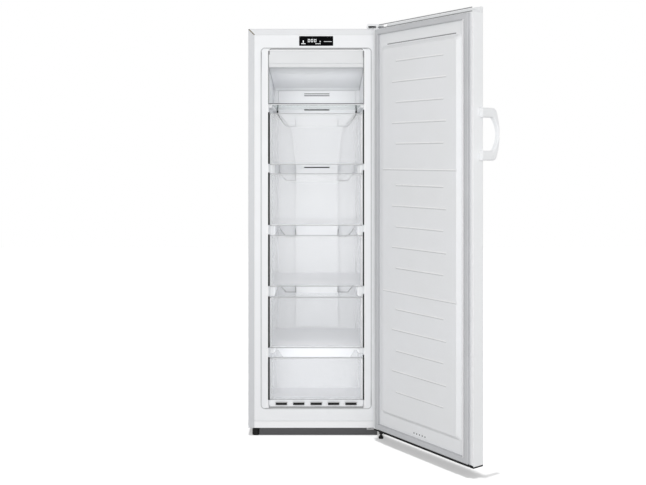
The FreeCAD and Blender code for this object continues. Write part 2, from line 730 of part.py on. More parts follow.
# ---------------------------------------------------------------- hinges, feet and rollers
FOOT_STEM = 4.0
LEFT_FOOT = (-264.0, FRONT_Y + 17.0)
RIGHT_FOOT = HINGE
ROLLER_X = 246.0
ROLLER_Y = 248.0
ROLLER_RADIUS = 14.0
UPPER_SCREWS = [(240, -262), (276, -242)]
LOWER_SCREWS = [(238, -270), (272, -266)]


def hinge_leaf(z, thickness, screws, back):
    """Flat leaf on the cabinet with a bevel-nosed arm out to the pin."""
    nose = HINGE_Y - 13
    leaf = plate("top", z, thickness, [
        (233, back), (229, back - 4), (229, FRONT_Y + 4), (HINGE_X - 13, FRONT_Y + 4),
        (HINGE_X - 13, HINGE_Y - 5), (HINGE_X - 5, nose), (HINGE_X + 5, nose), (HINGE_X + 13, HINGE_Y - 5),
        (HINGE_X + 13, FRONT_Y + 4.5), (293, FRONT_Y + 4.5), (293, back - 4), (289, back)])
    for x, y in screws:
        leaf = leaf.cut(plate("top", z - 1, thickness + 2, regular(x, y, 3.6, 8)))
    return leaf


def upper_hinge_bracket():
    leaf = hinge_leaf(BODY_TOP + 0.1, 3, UPPER_SCREWS, -228)
    pin = rod((HINGE_X, HINGE_Y, DOOR_TOP - 16), (0, 0, 1), PIN_RADIUS, BODY_TOP + 2 - DOOR_TOP + 16)
    collar = plate("top", BODY_TOP + 2, 4, regular(*HINGE, 8, 6))
    return joined([leaf, pin, collar])


def lower_hinge_bracket():
    """Leaf under the front rail with the door pin above it and the foot's boss below."""
    leaf = hinge_leaf(BODY_BOTTOM - 3.1, 3, LOWER_SCREWS, -252)
    washer = plate("top", BODY_BOTTOM - 1, DOOR_BOTTOM - BODY_BOTTOM + 0.7, regular(*HINGE, 10, 6))
    pin = rod((HINGE_X, HINGE_Y, BODY_BOTTOM - 1), (0, 0, 1), PIN_RADIUS, 22)
    boss = plate("top", 20, 11, regular(*HINGE, 9, 6))
    bore = rod((HINGE_X, HINGE_Y, 15), (0, 0, 1), FOOT_STEM + PIN_CLEARANCE, 17)
    return joined([leaf, washer, pin, boss]).cut(bore)


def hinge_screws():
    """Flanged hexagon screws of both hinges."""
    screws = []
    for x, y in UPPER_SCREWS:
        head = plate("top", BODY_TOP + 3.2, 4.5, regular(x, y, 5.2, 6))
        shank = plate("top", BODY_TOP + 0.2, 4, regular(x, y, 3, 6))
        screws.append(head.fuse(shank))
    for x, y in LOWER_SCREWS:
        head = plate("top", BODY_BOTTOM - 7.7, 4.5, regular(x, y, 5.2, 6))
        shank = plate("top", BODY_BOTTOM - 4, 3.8, regular(x, y, 3, 6))
        screws.append(head.fuse(shank))
    return Part.makeCompound(screws)


def hinge_cover():
    """Moulded cap over the upper leaf, open to the front-left and where the arm leaves."""
    base = BODY_TOP + 0.1
    height = 21.0
    outside = plate("top", base, height, [
        (224.5, -222), (224.5, FRONT_Y - 2, 3.5), (296, FRONT_Y - 2, 3.5), (296, -222), (292, -218),
        (228.5, -218)])
    outside = bevelled(outside, 2.5, lambda p, along: near(p.z, base + height))
    inside = plate("top", base - 1, height - 1, [
        (226.9, -222.5), (226.9, FRONT_Y + 0.4), (293.6, FRONT_Y + 0.4), (293.6, -222.5)])
    arm_way = block(HINGE_X - 13.5, HINGE_X + 13.5, FRONT_Y - 4, FRONT_Y + 6, base - 1, base + 4)
    recess = block(229, 262, FRONT_Y - 4, FRONT_Y + 3, base + 1.5, base + 12.5)
    return outside.cut(inside).cut(arm_way).cut(recess)


def levelling_foot(x, y, radius, height, stem_top):
    """Screw foot: faceted disc, hexagon and stem."""
    disc = plate("top", 0, height, regular(x, y, radius, 16))
    disc = bevelled(disc, 1.2, lambda p, along: near(p.z, height))
    collar = plate("top", height - 0.5, 5.5, regular(x, y, 7.5, 6))
    stem = rod((x, y, height), (0, 0, 1), FOOT_STEM, stem_top - height)
    return joined([disc, collar, stem])


def rear_roller_brackets():
    """Pairs of cheeks under the carrier with the roller pins across them."""
    shapes = []
    for side in (-1, 1):
        x = side * ROLLER_X
        cheeks = []
        for off in (-14, 12):
            cheeks.append(plate("side", x + off, 2, [
                (ROLLER_Y - 22, 34), (ROLLER_Y - 9, 11), (ROLLER_Y - 5, 8), (ROLLER_Y + 5, 8),
                (ROLLER_Y + 9, 11), (ROLLER_Y + 22, 34)]))
        top = block(x - 14, x + 14, ROLLER_Y - 22, ROLLER_Y + 22, 32.5, 34)
        pin = rod((x - 14, ROLLER_Y, ROLLER_RADIUS), (1, 0, 0), 3, 28)
        shapes.append(joined(cheeks + [top, pin]))
    return Part.makeCompound(shapes)


def roller(side):
    x = side * ROLLER_X
    profile = Part.Face(outline("top", ROLLER_RADIUS, [
        (x - 10, ROLLER_Y + 3.05), (x - 10, ROLLER_Y + ROLLER_RADIUS), (x + 10, ROLLER_Y + ROLLER_RADIUS),
        (x + 10, ROLLER_Y + 3.05)]))
    return profile.revolve(V(x, ROLLER_Y, ROLLER_RADIUS), V(1, 0, 0), 360)


# ---------------------------------------------------------------- door, drawn shut
def bush_seat(low, high, radius):
    """Eight-sided column about the hinge line."""
    return plate("top", low, high - low, regular(*HINGE, radius, 8))


def door_block(inset, low, high, radius):
    """The door's plan, drawn in by inset, with its outer long edges rounded."""
    x = HALF - inset
    return plate("top", low, high - low, [
        (-x, DOOR_INNER_Y - inset), (-x, DOOR_OUTER_Y + inset, radius),
        (x, DOOR_OUTER_Y + inset, radius), (x, DOOR_INNER_Y - inset)])


def door_skin():
    """Painted sheet round the outside, folded in along the inner long edges."""
    low, high = DOOR_BOTTOM + CAP, DOOR_TOP - CAP
    skin = door_block(0, low, high, 6).cut(door_block(SHEET, low - 1, high + 1, 5))
    mouth = HALF - 11
    skin = skin.cut(block(-mouth, mouth, DOOR_INNER_Y - 3, DOOR_INNER_Y + 3, low - 1, high + 1))
    for z in SCREW_HEIGHTS:
        skin = skin.cut(plate("side", -HALF - 1, 3, regular(HANDLE_SCREW_Y, z, 2.9, 8)))
    return skin


def door_top_cap():
    """Moulded cap: low landing for the hinge arm, high rim along the outer face."""
    landing = door_block(0, DOOR_TOP - CAP, DOOR_TOP, 6)
    rim_front = plate("top", DOOR_TOP - 1, DOOR_RIM_TOP - DOOR_TOP + 1, [
        (-HALF, DOOR_OUTER_Y + 18), (-HALF, DOOR_OUTER_Y, 6), (HINGE_X - 18, DOOR_OUTER_Y),
        (HINGE_X - 18, DOOR_OUTER_Y + 9, 6), (HINGE_X - 34, DOOR_OUTER_Y + 18, 6)])
    rim_front = bevelled(rim_front, 1.8, lambda p, along: near(p.z, DOOR_RIM_TOP))
    boss = bush_seat(DOOR_TOP - 24, DOOR_TOP - CAP + 1, 12)
    cap = joined([landing, rim_front, boss])
    return cap.cut(bush_seat(DOOR_TOP - 22, DOOR_TOP + 1, 8))


def door_bottom_cap():
    cap = door_block(0, DOOR_BOTTOM, DOOR_BOTTOM + CAP, 6)
    boss = bush_seat(DOOR_BOTTOM + CAP - 1, DOOR_BOTTOM + 26, 12)
    return joined([cap, boss]).cut(bush_seat(DOOR_BOTTOM - 1, DOOR_BOTTOM + 24, 8))


def hinge_bushes():
    bore = PIN_RADIUS + PIN_CLEARANCE
    upper = bush_seat(DOOR_TOP - 22, DOOR_TOP, 8).cut(
        rod((HINGE_X, HINGE_Y, DOOR_TOP - 19), (0, 0, 1), bore, 30))
    lower = bush_seat(DOOR_BOTTOM, DOOR_BOTTOM + 24, 8).cut(
        rod((HINGE_X, HINGE_Y, DOOR_BOTTOM - 9), (0, 0, 1), bore, 30))
    return Part.makeCompound([upper, lower])


def plug(inset, base, height):
    """The raised middle of the door liner, drafted on all four sides."""
    def at(y, draw):
        half = PLUG_HALF - inset - draw
        return outline("front", y, rectangle(
            -half, half, PLUG_LOW + inset + draw, PLUG_HIGH - inset - draw, 12))
    return Part.makeLoft([at(base, 0), at(base + height, PLUG_DRAFT * height / PLUG_HEIGHT)], True, True)


RIB_PITCH = 86.4
# topmost rib of each of the three fields, and the joints between the fields
RIB_FIELDS = [1622.0, 1103.0, 585.0]
FIELD_JOINTS = [1168.5, 656.0]
RIBS_IN_FIELD = 5


def door_liner():
    """Moulded inner face: gasket channel, raised middle, ribs and field joints."""
    low, high = DOOR_BOTTOM + CAP + 0.2, DOOR_TOP - CAP - 0.2
    half = HALF - 11.3
    base = block(-half, half, DOOR_INNER_Y - 2.5, DOOR_INNER_Y, low, high)
    liner = base.fuse(plug(0, DOOR_INNER_Y - 0.5, PLUG_HEIGHT + 0.5))
    liner = liner.cut(plug(3, DOOR_INNER_Y - 3, PLUG_HEIGHT + 0.5))
    face = DOOR_INNER_Y + PLUG_HEIGHT
    for field in RIB_FIELDS:
        for n in range(RIBS_IN_FIELD):
            z = field - n * RIB_PITCH
            left, right = (-150, 135) if n % 2 == 0 else (-165, 160)
            groove = plate("side", left, right - left, [
                (face - 1.8, z + 2.5), (face + 1, z + 5), (face + 1, z - 5), (face - 1.8, z - 2.5)])
            liner = liner.cut(groove)
    for z in FIELD_JOINTS:
        liner = liner.cut(block(-PLUG_HALF, PLUG_HALF, face - 1.8, face + 1, z - 3.5, z + 3.5))
    brow = block(-150, 150, DOOR_INNER_Y - 1, DOOR_INNER_Y + 1, 1716.5, 1720.5)
    return liner.cut(brow)


def door_foam():
    low, high = DOOR_BOTTOM + CAP + 0.2, DOOR_TOP - CAP - 0.2
    foam = door_block(SHEET + 0.2, low, high, 4.8)
    foam = foam.cut(block(-HALF, HALF, DOOR_INNER_Y - 2.7, DOOR_INNER_Y + 1, low - 1, high + 1))
    for bottom, top in ((low - 1, DOOR_BOTTOM + 26.2), (DOOR_TOP - 24.2, high + 1)):
        foam = foam.cut(bush_seat(bottom, top, 12.3))
    for z in SCREW_HEIGHTS:
        foam = foam.cut(block(-HALF, -HALF + 24, HANDLE_SCREW_Y - 4, HANDLE_SCREW_Y + 4, z - 4, z + 4))
    return foam


def door_gasket():
    """Magnetic seal: foot in the liner, narrow neck and a soft square bulb."""
    z0, z1 = 49.0, 1770.0

    def layer(y, thickness, inset_out, inset_in):
        out, ins = GASKET_OUTSIDE - inset_out, GASKET_INSIDE + inset_in
        return ring("front", y, thickness,
                    rectangle(-out, out, z0 + inset_out, z1 - inset_out),
                    rectangle(-ins, ins, z0 + 24 - inset_in, z1 - 24 + inset_in))

    foot = layer(DOOR_INNER_Y, 3.0, 0, 0)
    neck = layer(DOOR_INNER_Y + 2.9, 3.2, 5, 5)
    bulb = layer(DOOR_INNER_Y + 6.0, 5.7, 1.5, 1.5)
    return joined([foot, neck, bulb])


HANDLE_SCREW_Y = DOOR_OUTER_Y + 13.0
SCREW_HEIGHTS = [HANDLE_MIDDLE + side * (HANDLE_HEIGHT - HANDLE_ARM) / 2 for side in (-1, 1)]


def handle():
    """Bow handle on the door's free edge: broad arms that thin to a strap."""
    x0 = -HALF - 0.1
    x1 = x0 - HANDLE_WIDTH
    y = DOOR_OUTER_Y
    z = HANDLE_MIDDLE
    half = HANDLE_HEIGHT / 2
    arm = half - HANDLE_ARM
    reach = HANDLE_REACH + 2
    upper = [
        (y + 26, z + arm, 0), (y - 36, z + arm, 18), (y - reach + 6, z + 22, 68)]
    lower = [(u, 2 * z - v, r) for u, v, r in reversed(upper)]
    outside_low = [
        (y + 26, z - half, 0), (y - 50, z - half, 22), (y - reach, z - 35, 200)]
    outside_high = [(u, 2 * z - v, r) for u, v, r in reversed(outside_low)]
    bow = plate("side", x1, HANDLE_WIDTH, upper + lower + outside_low + outside_high)
    bow = bevelled(bow, 2.4, lambda p, along: near(p.x, x1))
    for z in SCREW_HEIGHTS:
        bow = bow.cut(plate("side", x0 - 30, 32, regular(HANDLE_SCREW_Y, z, 2.9, 8)))
        bow = bow.cut(plate("side", x0 - 38, 30, regular(HANDLE_SCREW_Y, z, 6.2, 16)))
    return bow


def handle_screws():
    """Long screws through the pads into the door's edge."""
    screws = []
    for z in SCREW_HEIGHTS:
        shank = plate("side", -HALF - 10, 30, regular(HANDLE_SCREW_Y, z, 2.6, 8))
        head = plate("side", -HALF - 12.2, 4, regular(HANDLE_SCREW_Y, z, 5.4, 8))
        screws.append(shank.fuse(head))
    return Part.makeCompound(screws)


def handle_plugs():
    """Flush covers over the screw heads."""
    outer_x = -HALF - HANDLE_WIDTH - 0.1
    return Part.makeCompound([
        plate("side", outer_x, 4, regular(HANDLE_SCREW_Y, z, 6.15, 16)) for z in SCREW_HEIGHTS])


# ---------------------------------------------------------------- assembly
def opened(shape):
    """A door piece turned from shut to the stored open pose."""
    turned = shape.copy()
    turned.rotate(V(HINGE_X, HINGE_Y, 0), V(0, 0, 1), DOOR_OPEN_DEGREES)
    return turned


for make in (outer_shell, back_panel, inner_liner, cabinet_foam, side_condenser,
             bottom_rail, base_frame, base_plinth, compressor_carrier, compressor, compressor_mounts,
             compressor_relay, evaporating_tray, refrigerant_tubes, power_inlet,
             display_glass, display_housing, control_board, top_fascia, evaporator_cover, air_duct,
             evaporator_coil, defrost_heater, drip_trough, fan_shroud, fan_motor, fan_rotor,
             glass_shelf, shelf_trim, floor_grille, upper_hinge_bracket, lower_hinge_bracket,
             hinge_screws, hinge_cover, rear_roller_brackets):
    pieces[make.__name__] = make()

ceilings = [SHELF_Z - 13] + [bottom - LEDGE_HEIGHT for bottom, top in DRAWERS[:3]]
ceilings.append(DRAWERS[3][0] - 28)
for number, ((bottom, top), ceiling) in enumerate(zip(DRAWERS, ceilings), 1):
    rear = SHORT_TUB_BACK if number == len(DRAWERS) else TUB_BACK
    pieces[f"drawer_{number}_tub"] = drawer_tub(bottom, top, rear, ceiling)
    pieces[f"drawer_{number}_front"] = drawer_front(bottom, top)

pieces["left_foot"] = levelling_foot(*LEFT_FOOT, 17, 26, 56)
pieces["right_foot"] = levelling_foot(*RIGHT_FOOT, 10.5, 8, 29)
pieces["left_roller"] = roller(-1)
pieces["right_roller"] = roller(1)

for make in (door_skin, door_top_cap, door_bottom_cap, hinge_bushes, door_liner, door_foam,
             door_gasket, handle, handle_screws, handle_plugs):
    pieces[make.__name__] = opened(make())

os.makedirs("parts", exist_ok=True)
for name, shape in pieces.items():
    shape.translate(TO_ORIGIN)
    shape.exportStep(f"parts/{name}.step")
    box = shape.BoundBox
    print(f"{name:24s} solids {len(shape.Solids)} valid {shape.isValid()} "
          f"x {box.XMin:.1f} {box.XMax:.1f} y {box.YMin:.1f} {box.YMax:.1f} "
          f"z {box.ZMin:.1f} {box.ZMax:.1f}")
print(len(pieces), "nodes")
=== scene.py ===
import bpy
import bmesh
import math
import numpy as np
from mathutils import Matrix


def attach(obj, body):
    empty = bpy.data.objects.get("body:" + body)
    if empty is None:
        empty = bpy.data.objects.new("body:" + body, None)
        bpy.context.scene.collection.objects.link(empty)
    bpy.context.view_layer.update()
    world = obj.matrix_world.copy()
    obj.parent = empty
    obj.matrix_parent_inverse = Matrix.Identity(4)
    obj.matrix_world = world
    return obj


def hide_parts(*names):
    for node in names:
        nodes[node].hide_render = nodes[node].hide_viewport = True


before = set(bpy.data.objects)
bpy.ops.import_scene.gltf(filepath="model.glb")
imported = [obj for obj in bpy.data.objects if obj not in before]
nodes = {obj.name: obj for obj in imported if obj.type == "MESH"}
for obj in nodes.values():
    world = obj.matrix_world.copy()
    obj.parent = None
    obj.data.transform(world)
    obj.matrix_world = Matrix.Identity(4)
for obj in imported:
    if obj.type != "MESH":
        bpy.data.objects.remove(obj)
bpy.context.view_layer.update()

# ---------------------------------------------------------------- driving dimensions, in millimetres
# Places are measured from the floor under the middle of the cabinet, with the door shut.
MM = 0.001
# the frame's own origin, measured the same way
ORIGIN = np.array([206.19, -265.14, 0.0])

CABINET_HALF = 297.5
CABINET_TOP = 1783.0
FLANGE = 26.2
# the painted shade on the side flanges and the mitre line lie in front of this plane
FLANGE_MARKS_Y = -288.5
MITRE_LINE = 3.4
# front planes: the shell's flange, the frame round the mouth, and the rims of the drawers
FRONT_Y = -290.0
FRAME_Y = -286.0
RIM_Y = -274.1

# each drawer: bottom and top of its front
DRAWERS = [(1189.7, 1413.6), (921.0, 1148.9), (652.9, 876.8), (382.0, 605.1), (152.9, 338.3)]
GRILLE_SLOTS = [(n - 2) * 76.5 for n in range(5)]
EDGING_SEAL = 1453.3

HINGE = np.array([282.0, -330.0])
OPEN_ANGLE = math.radians(126.0)
DOOR_INNER_Y = -302.0
DOOR_OUTER_Y = -357.0
PLUG_RISE = 15.0
# thin pieces start this far inside the surface that they lie on
SUNK = 0.1

HANDLE_X = -307.6
HANDLE_Z = 1307.5
HANDLE_HALF_WIDTH = 10.0

COMPRESSOR = np.array([90.0, 165.0])


# ---------------------------------------------------------------- colours and finishes
def tone(r, g=None, b=None):
    """A display tone from 0 to 1 as the linear colour that shows it."""
    values = np.array([r, r if g is None else g, r if b is None else b], float)
    linear = np.where(values <= 0.04045, values / 12.92, ((values + 0.055) / 1.055) ** 2.4)
    return (*linear.tolist(), 1.0)


class Finish:
    """One procedural finish on the Principled shader, with its pattern in the piece's own metres."""

    def __init__(self, name, colour, roughness, **constants):
        self.material = bpy.data.materials.new(name)
        self.material.use_nodes = True
        self.tree = self.material.node_tree
        self.shader = self.tree.nodes["Principled BSDF"]
        self.place = self.new("ShaderNodeTexCoord").outputs["Object"]
        self.shader.inputs["Base Color"].default_value = colour
        self.shader.inputs["Roughness"].default_value = roughness
        for socket, value in constants.items():
            self.shader.inputs[socket.replace("_", " ")].default_value = value

    def new(self, kind, **settings):
        """A node of the given kind with its settings."""
        node = self.tree.nodes.new(kind)
        for key, value in settings.items():
            setattr(node, key, value)
        return node

    def join(self, source, target):
        """A link from one socket to another."""
        self.tree.links.new(source, target)

    def maths(self, operation, *terms, clamp=False):
        """One operation on numbers or sockets."""
        node = self.new("ShaderNodeMath", operation=operation, use_clamp=clamp)
        for socket, term in zip(node.inputs, terms):
            if isinstance(term, (int, float)):
                socket.default_value = term
            else:
                self.join(term, socket)
        return node.outputs[0]

    def noise(self, scale, detail=2.0, stretch=(1, 1, 1)):
        """Cloudy values around a half, finer with a larger scale."""
        mapping = self.new("ShaderNodeMapping")
        mapping.inputs["Scale"].default_value = stretch
        self.join(self.place, mapping.inputs["Vector"])
        node = self.new("ShaderNodeTexNoise")
        node.inputs["Scale"].default_value = scale
        node.inputs["Detail"].default_value = detail
        self.join(mapping.outputs[0], node.inputs["Vector"])
        return node.outputs["Fac"]

    def spread(self, source, low, high, start=0.3, end=0.7):
        """The range from start to end laid out from low to high, and held there beyond it."""
        node = self.new("ShaderNodeMapRange")
        for key, value in zip(("From Min", "From Max", "To Min", "To Max"), (start, end, low, high)):
            node.inputs[key].default_value = value
        self.join(source, node.inputs["Value"])
        return node.outputs[0]

    def mixed(self, share, first, second):
        """The first colour where share is 0 and the second where it is 1."""
        node = self.new("ShaderNodeMix", data_type="RGBA")
        self.join(share, node.inputs["Factor"])
        for socket, value in ((node.inputs[6], first), (node.inputs[7], second)):
            if isinstance(value, tuple):
                socket.default_value = value
            else:
                self.join(value, socket)
        return node.outputs[2]

    def cloud(self, scale, other, stretch=(1, 1, 1), detail=2.0):
        """Base colour that drifts towards a second tone."""
        share = self.spread(self.noise(scale, detail, stretch), 0.0, 1.0)
        colour = self.mixed(share, tuple(self.shader.inputs["Base Color"].default_value), other)
        self.join(colour, self.shader.inputs["Base Color"])
        return self

    def paint_over(self, share, colour):
        """A mark in a second colour where share is 1."""
        links = self.shader.inputs["Base Color"].links
        under = links[0].from_socket if links else tuple(self.shader.inputs["Base Color"].default_value)
        self.join(self.mixed(share, under, colour), self.shader.inputs["Base Color"])
        return self

    def uneven_gloss(self, scale, low, high, stretch=(1, 1, 1)):
        """Roughness that drifts from low to high."""
        self.join(self.spread(self.noise(scale, 2.0, stretch), low, high), self.shader.inputs["Roughness"])
        return self

    def relief(self, scale, height_mm, stretch=(1, 1, 1), source=None):
        """A fine raised grain height_mm high, or the given pattern raised by as much."""
        node = self.new("ShaderNodeBump")
        node.inputs["Distance"].default_value = height_mm * MM
        node.inputs["Strength"].default_value = 1.0
        self.join(source or self.noise(scale, 2.0, stretch), node.inputs["Height"])
        self.join(node.outputs[0], self.shader.inputs["Normal"])
        return self

    def axes(self):
        """The three coordinates of a point, in metres from the frame's origin."""
        node = self.new("ShaderNodeSeparateXYZ")
        self.join(self.place, node.inputs[0])
        return node.outputs[0], node.outputs[1], node.outputs[2]


def flange_shade_and_mitre(f):
    """Painted shade on the side flanges of the shell's front, which greys them against the top flange, and a
    dark line at each mitred upper corner, where the distance in from the side equals the distance down from
    the top."""
    x, y, z = f.axes()
    across = f.maths("SUBTRACT", CABINET_HALF * MM, f.maths("ABSOLUTE", f.maths("ADD", x, ORIGIN[0] * MM)))
    down = f.maths("SUBTRACT", CABINET_TOP * MM, z)
    off_mitre = f.maths("ABSOLUTE", f.maths("SUBTRACT", across, down))
    on_line = f.maths("LESS_THAN", off_mitre, MITRE_LINE * MM)
    on_front = f.maths("LESS_THAN", f.maths("ADD", y, ORIGIN[1] * MM), FLANGE_MARKS_Y * MM)
    on_corner = f.maths("LESS_THAN", down, FLANGE * MM)
    on_side = f.maths("LESS_THAN", across, FLANGE * MM)
    upright = f.maths("MULTIPLY", on_side, f.maths("GREATER_THAN", down, across))
    # painted shade: the side flanges greyed as though they caught less light than the top flange
    f.paint_over(f.maths("MULTIPLY", upright, on_front), tone(0.825, 0.83, 0.84))
    f.paint_over(f.maths("MULTIPLY", on_line, f.maths("MULTIPLY", on_front, on_corner)), tone(0.22))


def white_paint(name, colour, other):
    """Smooth stoved paint with a very fine grain."""
    f = Finish(name, colour, 0.32, Specular_IOR_Level=0.4)
    return f.cloud(2.2, other).uneven_gloss(9.0, 0.31, 0.34).relief(620.0, 0.008)


def shell_paint():
    """The shell's white paint, with its folded front and the painted shade on its side flanges."""
    f = white_paint("painted_steel", tone(0.895, 0.90, 0.91), tone(0.90, 0.905, 0.91))
    flange_shade_and_mitre(f)
    return f.material


def moulded(name, colour, other, roughness=0.42, grain=0.015):
    """Moulded plastic, enamel, lacquer or rubber with a fine grain."""
    f = Finish(name, colour, roughness, Specular_IOR_Level=0.45)
    f.cloud(3.1, other).uneven_gloss(14.0, roughness - 0.05, roughness + 0.07).relief(480.0, grain)
    return f.material


def brushed(name, colour, other, roughness, stretch=(1, 1, 60)):
    """Bare metal with a grain that is squeezed along one axis."""
    f = Finish(name, colour, roughness, Metallic=1.0)
    f.cloud(30.0, other, stretch, 4.0).uneven_gloss(24.0, roughness - 0.06, roughness + 0.1, stretch)
    f.relief(60.0, 0.01, stretch)
    return f.material


def galvanised():
    """Spangled zinc: flat crystals of slightly different greys."""
    f = Finish("galvanised_steel", tone(0.76, 0.77, 0.78), 0.45, Metallic=0.75)
    cells = f.new("ShaderNodeTexVoronoi")
    cells.inputs["Scale"].default_value = 85.0
    f.join(f.place, cells.inputs["Vector"])
    bright = f.new("ShaderNodeSeparateColor")
    f.join(cells.outputs["Color"], bright.inputs[0])
    f.paint_over(f.spread(bright.outputs[0], 0.0, 1.0, 0.0, 1.0), tone(0.70, 0.71, 0.72))
    f.join(f.spread(bright.outputs[1], 0.36, 0.56, 0.0, 1.0), f.shader.inputs["Roughness"])
    f.relief(0.0, 0.02, source=cells.outputs["Distance"])
    return f.material


def clear(name, tint, face_on, edge_on, roughness=0.12):
    """Clear plastic or glass: hardly seen face on, and denser towards its edges. It lets nearly all of the
    light through."""
    f = Finish(name, tint, roughness, Specular_IOR_Level=0.5)
    facing = f.new("ShaderNodeLayerWeight")
    facing.inputs["Blend"].default_value = 0.35
    haze = f.spread(f.noise(5.0, 1.0), -0.01, 0.01)
    by_angle = f.spread(facing.outputs["Facing"], face_on, edge_on, 0.05, 0.85)
    density = f.maths("ADD", by_angle, haze, clamp=True)
    ray = f.new("ShaderNodeLightPath")
    lighting = f.maths("MAXIMUM", ray.outputs["Is Shadow Ray"], ray.outputs["Is Diffuse Ray"])
    f.join(f.maths("MULTIPLY", density, f.spread(lighting, 1.0, 0.12, 0.0, 1.0)), f.shader.inputs["Alpha"])
    f.uneven_gloss(6.0, roughness - 0.02, roughness + 0.03)
    return f.material


def fins():
    """Close upright aluminium fins, drawn as fine ridges along X, with painted shade in the gaps between
    them.
    """
    f = Finish("coil_fins", tone(0.80, 0.81, 0.82), 0.35, Metallic=1.0)
    ridge = f.maths("SINE", f.maths("MULTIPLY", f.axes()[0], 1250.0))
    # painted shade in the gaps between the fins
    f.paint_over(f.spread(ridge, 0.0, 1.0, -1.0, 1.0), tone(0.45, 0.46, 0.47))
    f.relief(0.0, 0.6, source=ridge)
    return f.material


def seal_rubber():
    """Soft pale seal with a faint powdery grain."""
    f = Finish("seal_rubber", tone(0.80, 0.805, 0.815), 0.62, Specular_IOR_Level=0.25)
    f.cloud(5.0, tone(0.77, 0.775, 0.785)).uneven_gloss(30.0, 0.55, 0.7).relief(700.0, 0.02)
    return f.material


def foam_finish():
    """Pale yellow foam with an open grain."""
    f = Finish("insulation_foam", tone(0.93, 0.88, 0.70), 0.9)
    f.cloud(40.0, tone(0.86, 0.79, 0.60), detail=4.0).relief(160.0, 0.6)
    return f.material


def display_black():
    """Dark window over the display, nearly without a mirror image."""
    f = Finish("display_black", tone(0.03, 0.03, 0.035), 0.3, Specular_IOR_Level=0.01)
    f.cloud(30.0, tone(0.02, 0.02, 0.025)).uneven_gloss(50.0, 0.25, 0.35)
    return f.material


def lit_marks():
    """White strokes that give off a little light of their own."""
    f = Finish("display_light", tone(0.9), 0.5)
    f.shader.inputs["Emission Color"].default_value = tone(0.93, 0.95, 0.96)
    f.cloud(400.0, tone(0.8))
    f.shader.inputs["Emission Strength"].default_value = 0.6
    return f.material


def edging():
    """Pale shelf edging with its dark seal along the top."""
    f = Finish("shelf_edging", tone(0.93, 0.935, 0.94), 0.4, Specular_IOR_Level=0.35)
    f.cloud(3.0, tone(0.91, 0.915, 0.92)).uneven_gloss(14.0, 0.36, 0.46)
    f.paint_over(f.maths("GREATER_THAN", f.axes()[2], EDGING_SEAL * MM), tone(0.13))
    return f.material


painted_steel = shell_paint()
# painted light: the door's and the bottom rail's paint is the shell's white made lighter where the lamps
# light them less
door_steel_painted_light = white_paint("door_steel_painted_light", tone(0.975, 0.98, 0.985), tone(0.965, 0.97, 0.975)).material
rail_steel_painted_light = white_paint("rail_steel_painted_light", tone(0.985, 0.985, 0.99), tone(0.965, 0.97, 0.975)).material
liner_plastic = moulded("liner_plastic", tone(0.955, 0.96, 0.97), tone(0.945, 0.95, 0.955))
trim_plastic = moulded("trim_plastic", tone(0.955, 0.96, 0.965), tone(0.94, 0.945, 0.95), 0.36)
fascia_plastic = moulded("fascia_plastic", tone(0.895, 0.90, 0.905), tone(0.885, 0.89, 0.895), 0.42)
# painted highlight: whiter plastic for the mouth bead and the light lines on the door's inner face
highlight_plastic = moulded("highlight_plastic", tone(0.985, 0.985, 0.99), tone(0.97, 0.97, 0.975), 0.3)
door_plastic = moulded("door_plastic", tone(0.93, 0.935, 0.945), tone(0.92, 0.925, 0.93), 0.45)
handle_plastic = moulded("handle_plastic", tone(0.96, 0.965, 0.97), tone(0.95, 0.955, 0.96), 0.3, 0.008)
plinth_plastic = moulded("plinth_plastic", tone(0.32, 0.32, 0.325), tone(0.29, 0.29, 0.295), 0.5, 0.03)
black_plastic = moulded("black_plastic", tone(0.13, 0.13, 0.135), tone(0.10, 0.10, 0.105), 0.5, 0.03)
shelf_edging = edging()
sill_shade_grey = moulded("sill_shade_grey", tone(0.63, 0.635, 0.64), tone(0.60, 0.605, 0.61), 0.6)
# painted shade for dark lines at edges and gaps
shade_line_grey = moulded("shade_line_grey", tone(0.60, 0.605, 0.61), tone(0.57, 0.575, 0.58), 0.6)
groove_shade_grey = moulded("groove_shade_grey", tone(0.85, 0.855, 0.86), tone(0.83, 0.835, 0.84), 0.5)
edge_shade_grey = moulded("edge_shade_grey", tone(0.80, 0.805, 0.81), tone(0.77, 0.775, 0.78), 0.5)
# black for the feet and the door's bottom cap, and painted shade for dark gaps, slots and lines
black_and_gap_shade = moulded("black_and_gap_shade", tone(0.03, 0.03, 0.03), tone(0.02, 0.02, 0.02), 0.8, 0.02)
black_enamel = moulded("black_enamel", tone(0.10, 0.10, 0.105), tone(0.075, 0.075, 0.08), 0.3, 0.02)
bearing_plastic = moulded("bearing_plastic", tone(0.16, 0.16, 0.165), tone(0.12, 0.12, 0.125), 0.4)
black_rubber = moulded("black_rubber", tone(0.14, 0.14, 0.14), tone(0.10, 0.10, 0.10), 0.75, 0.03)
board_lacquer = moulded("board_lacquer", tone(0.12, 0.42, 0.25), tone(0.08, 0.34, 0.20), 0.3)
hinge_metal = brushed("hinge_metal", tone(0.62, 0.63, 0.64), tone(0.50, 0.51, 0.52), 0.38, (1, 40, 1))
heater_metal = brushed("heater_metal", tone(0.52, 0.52, 0.53), tone(0.42, 0.42, 0.43), 0.4)
copper_tube = brushed("copper_tube", tone(0.80, 0.52, 0.40), tone(0.66, 0.40, 0.30), 0.32, (1, 1, 8))
screw_metal = brushed("screw_metal", tone(0.66, 0.67, 0.68), tone(0.52, 0.53, 0.54), 0.35, (1, 30, 1))
galvanised_steel = galvanised()
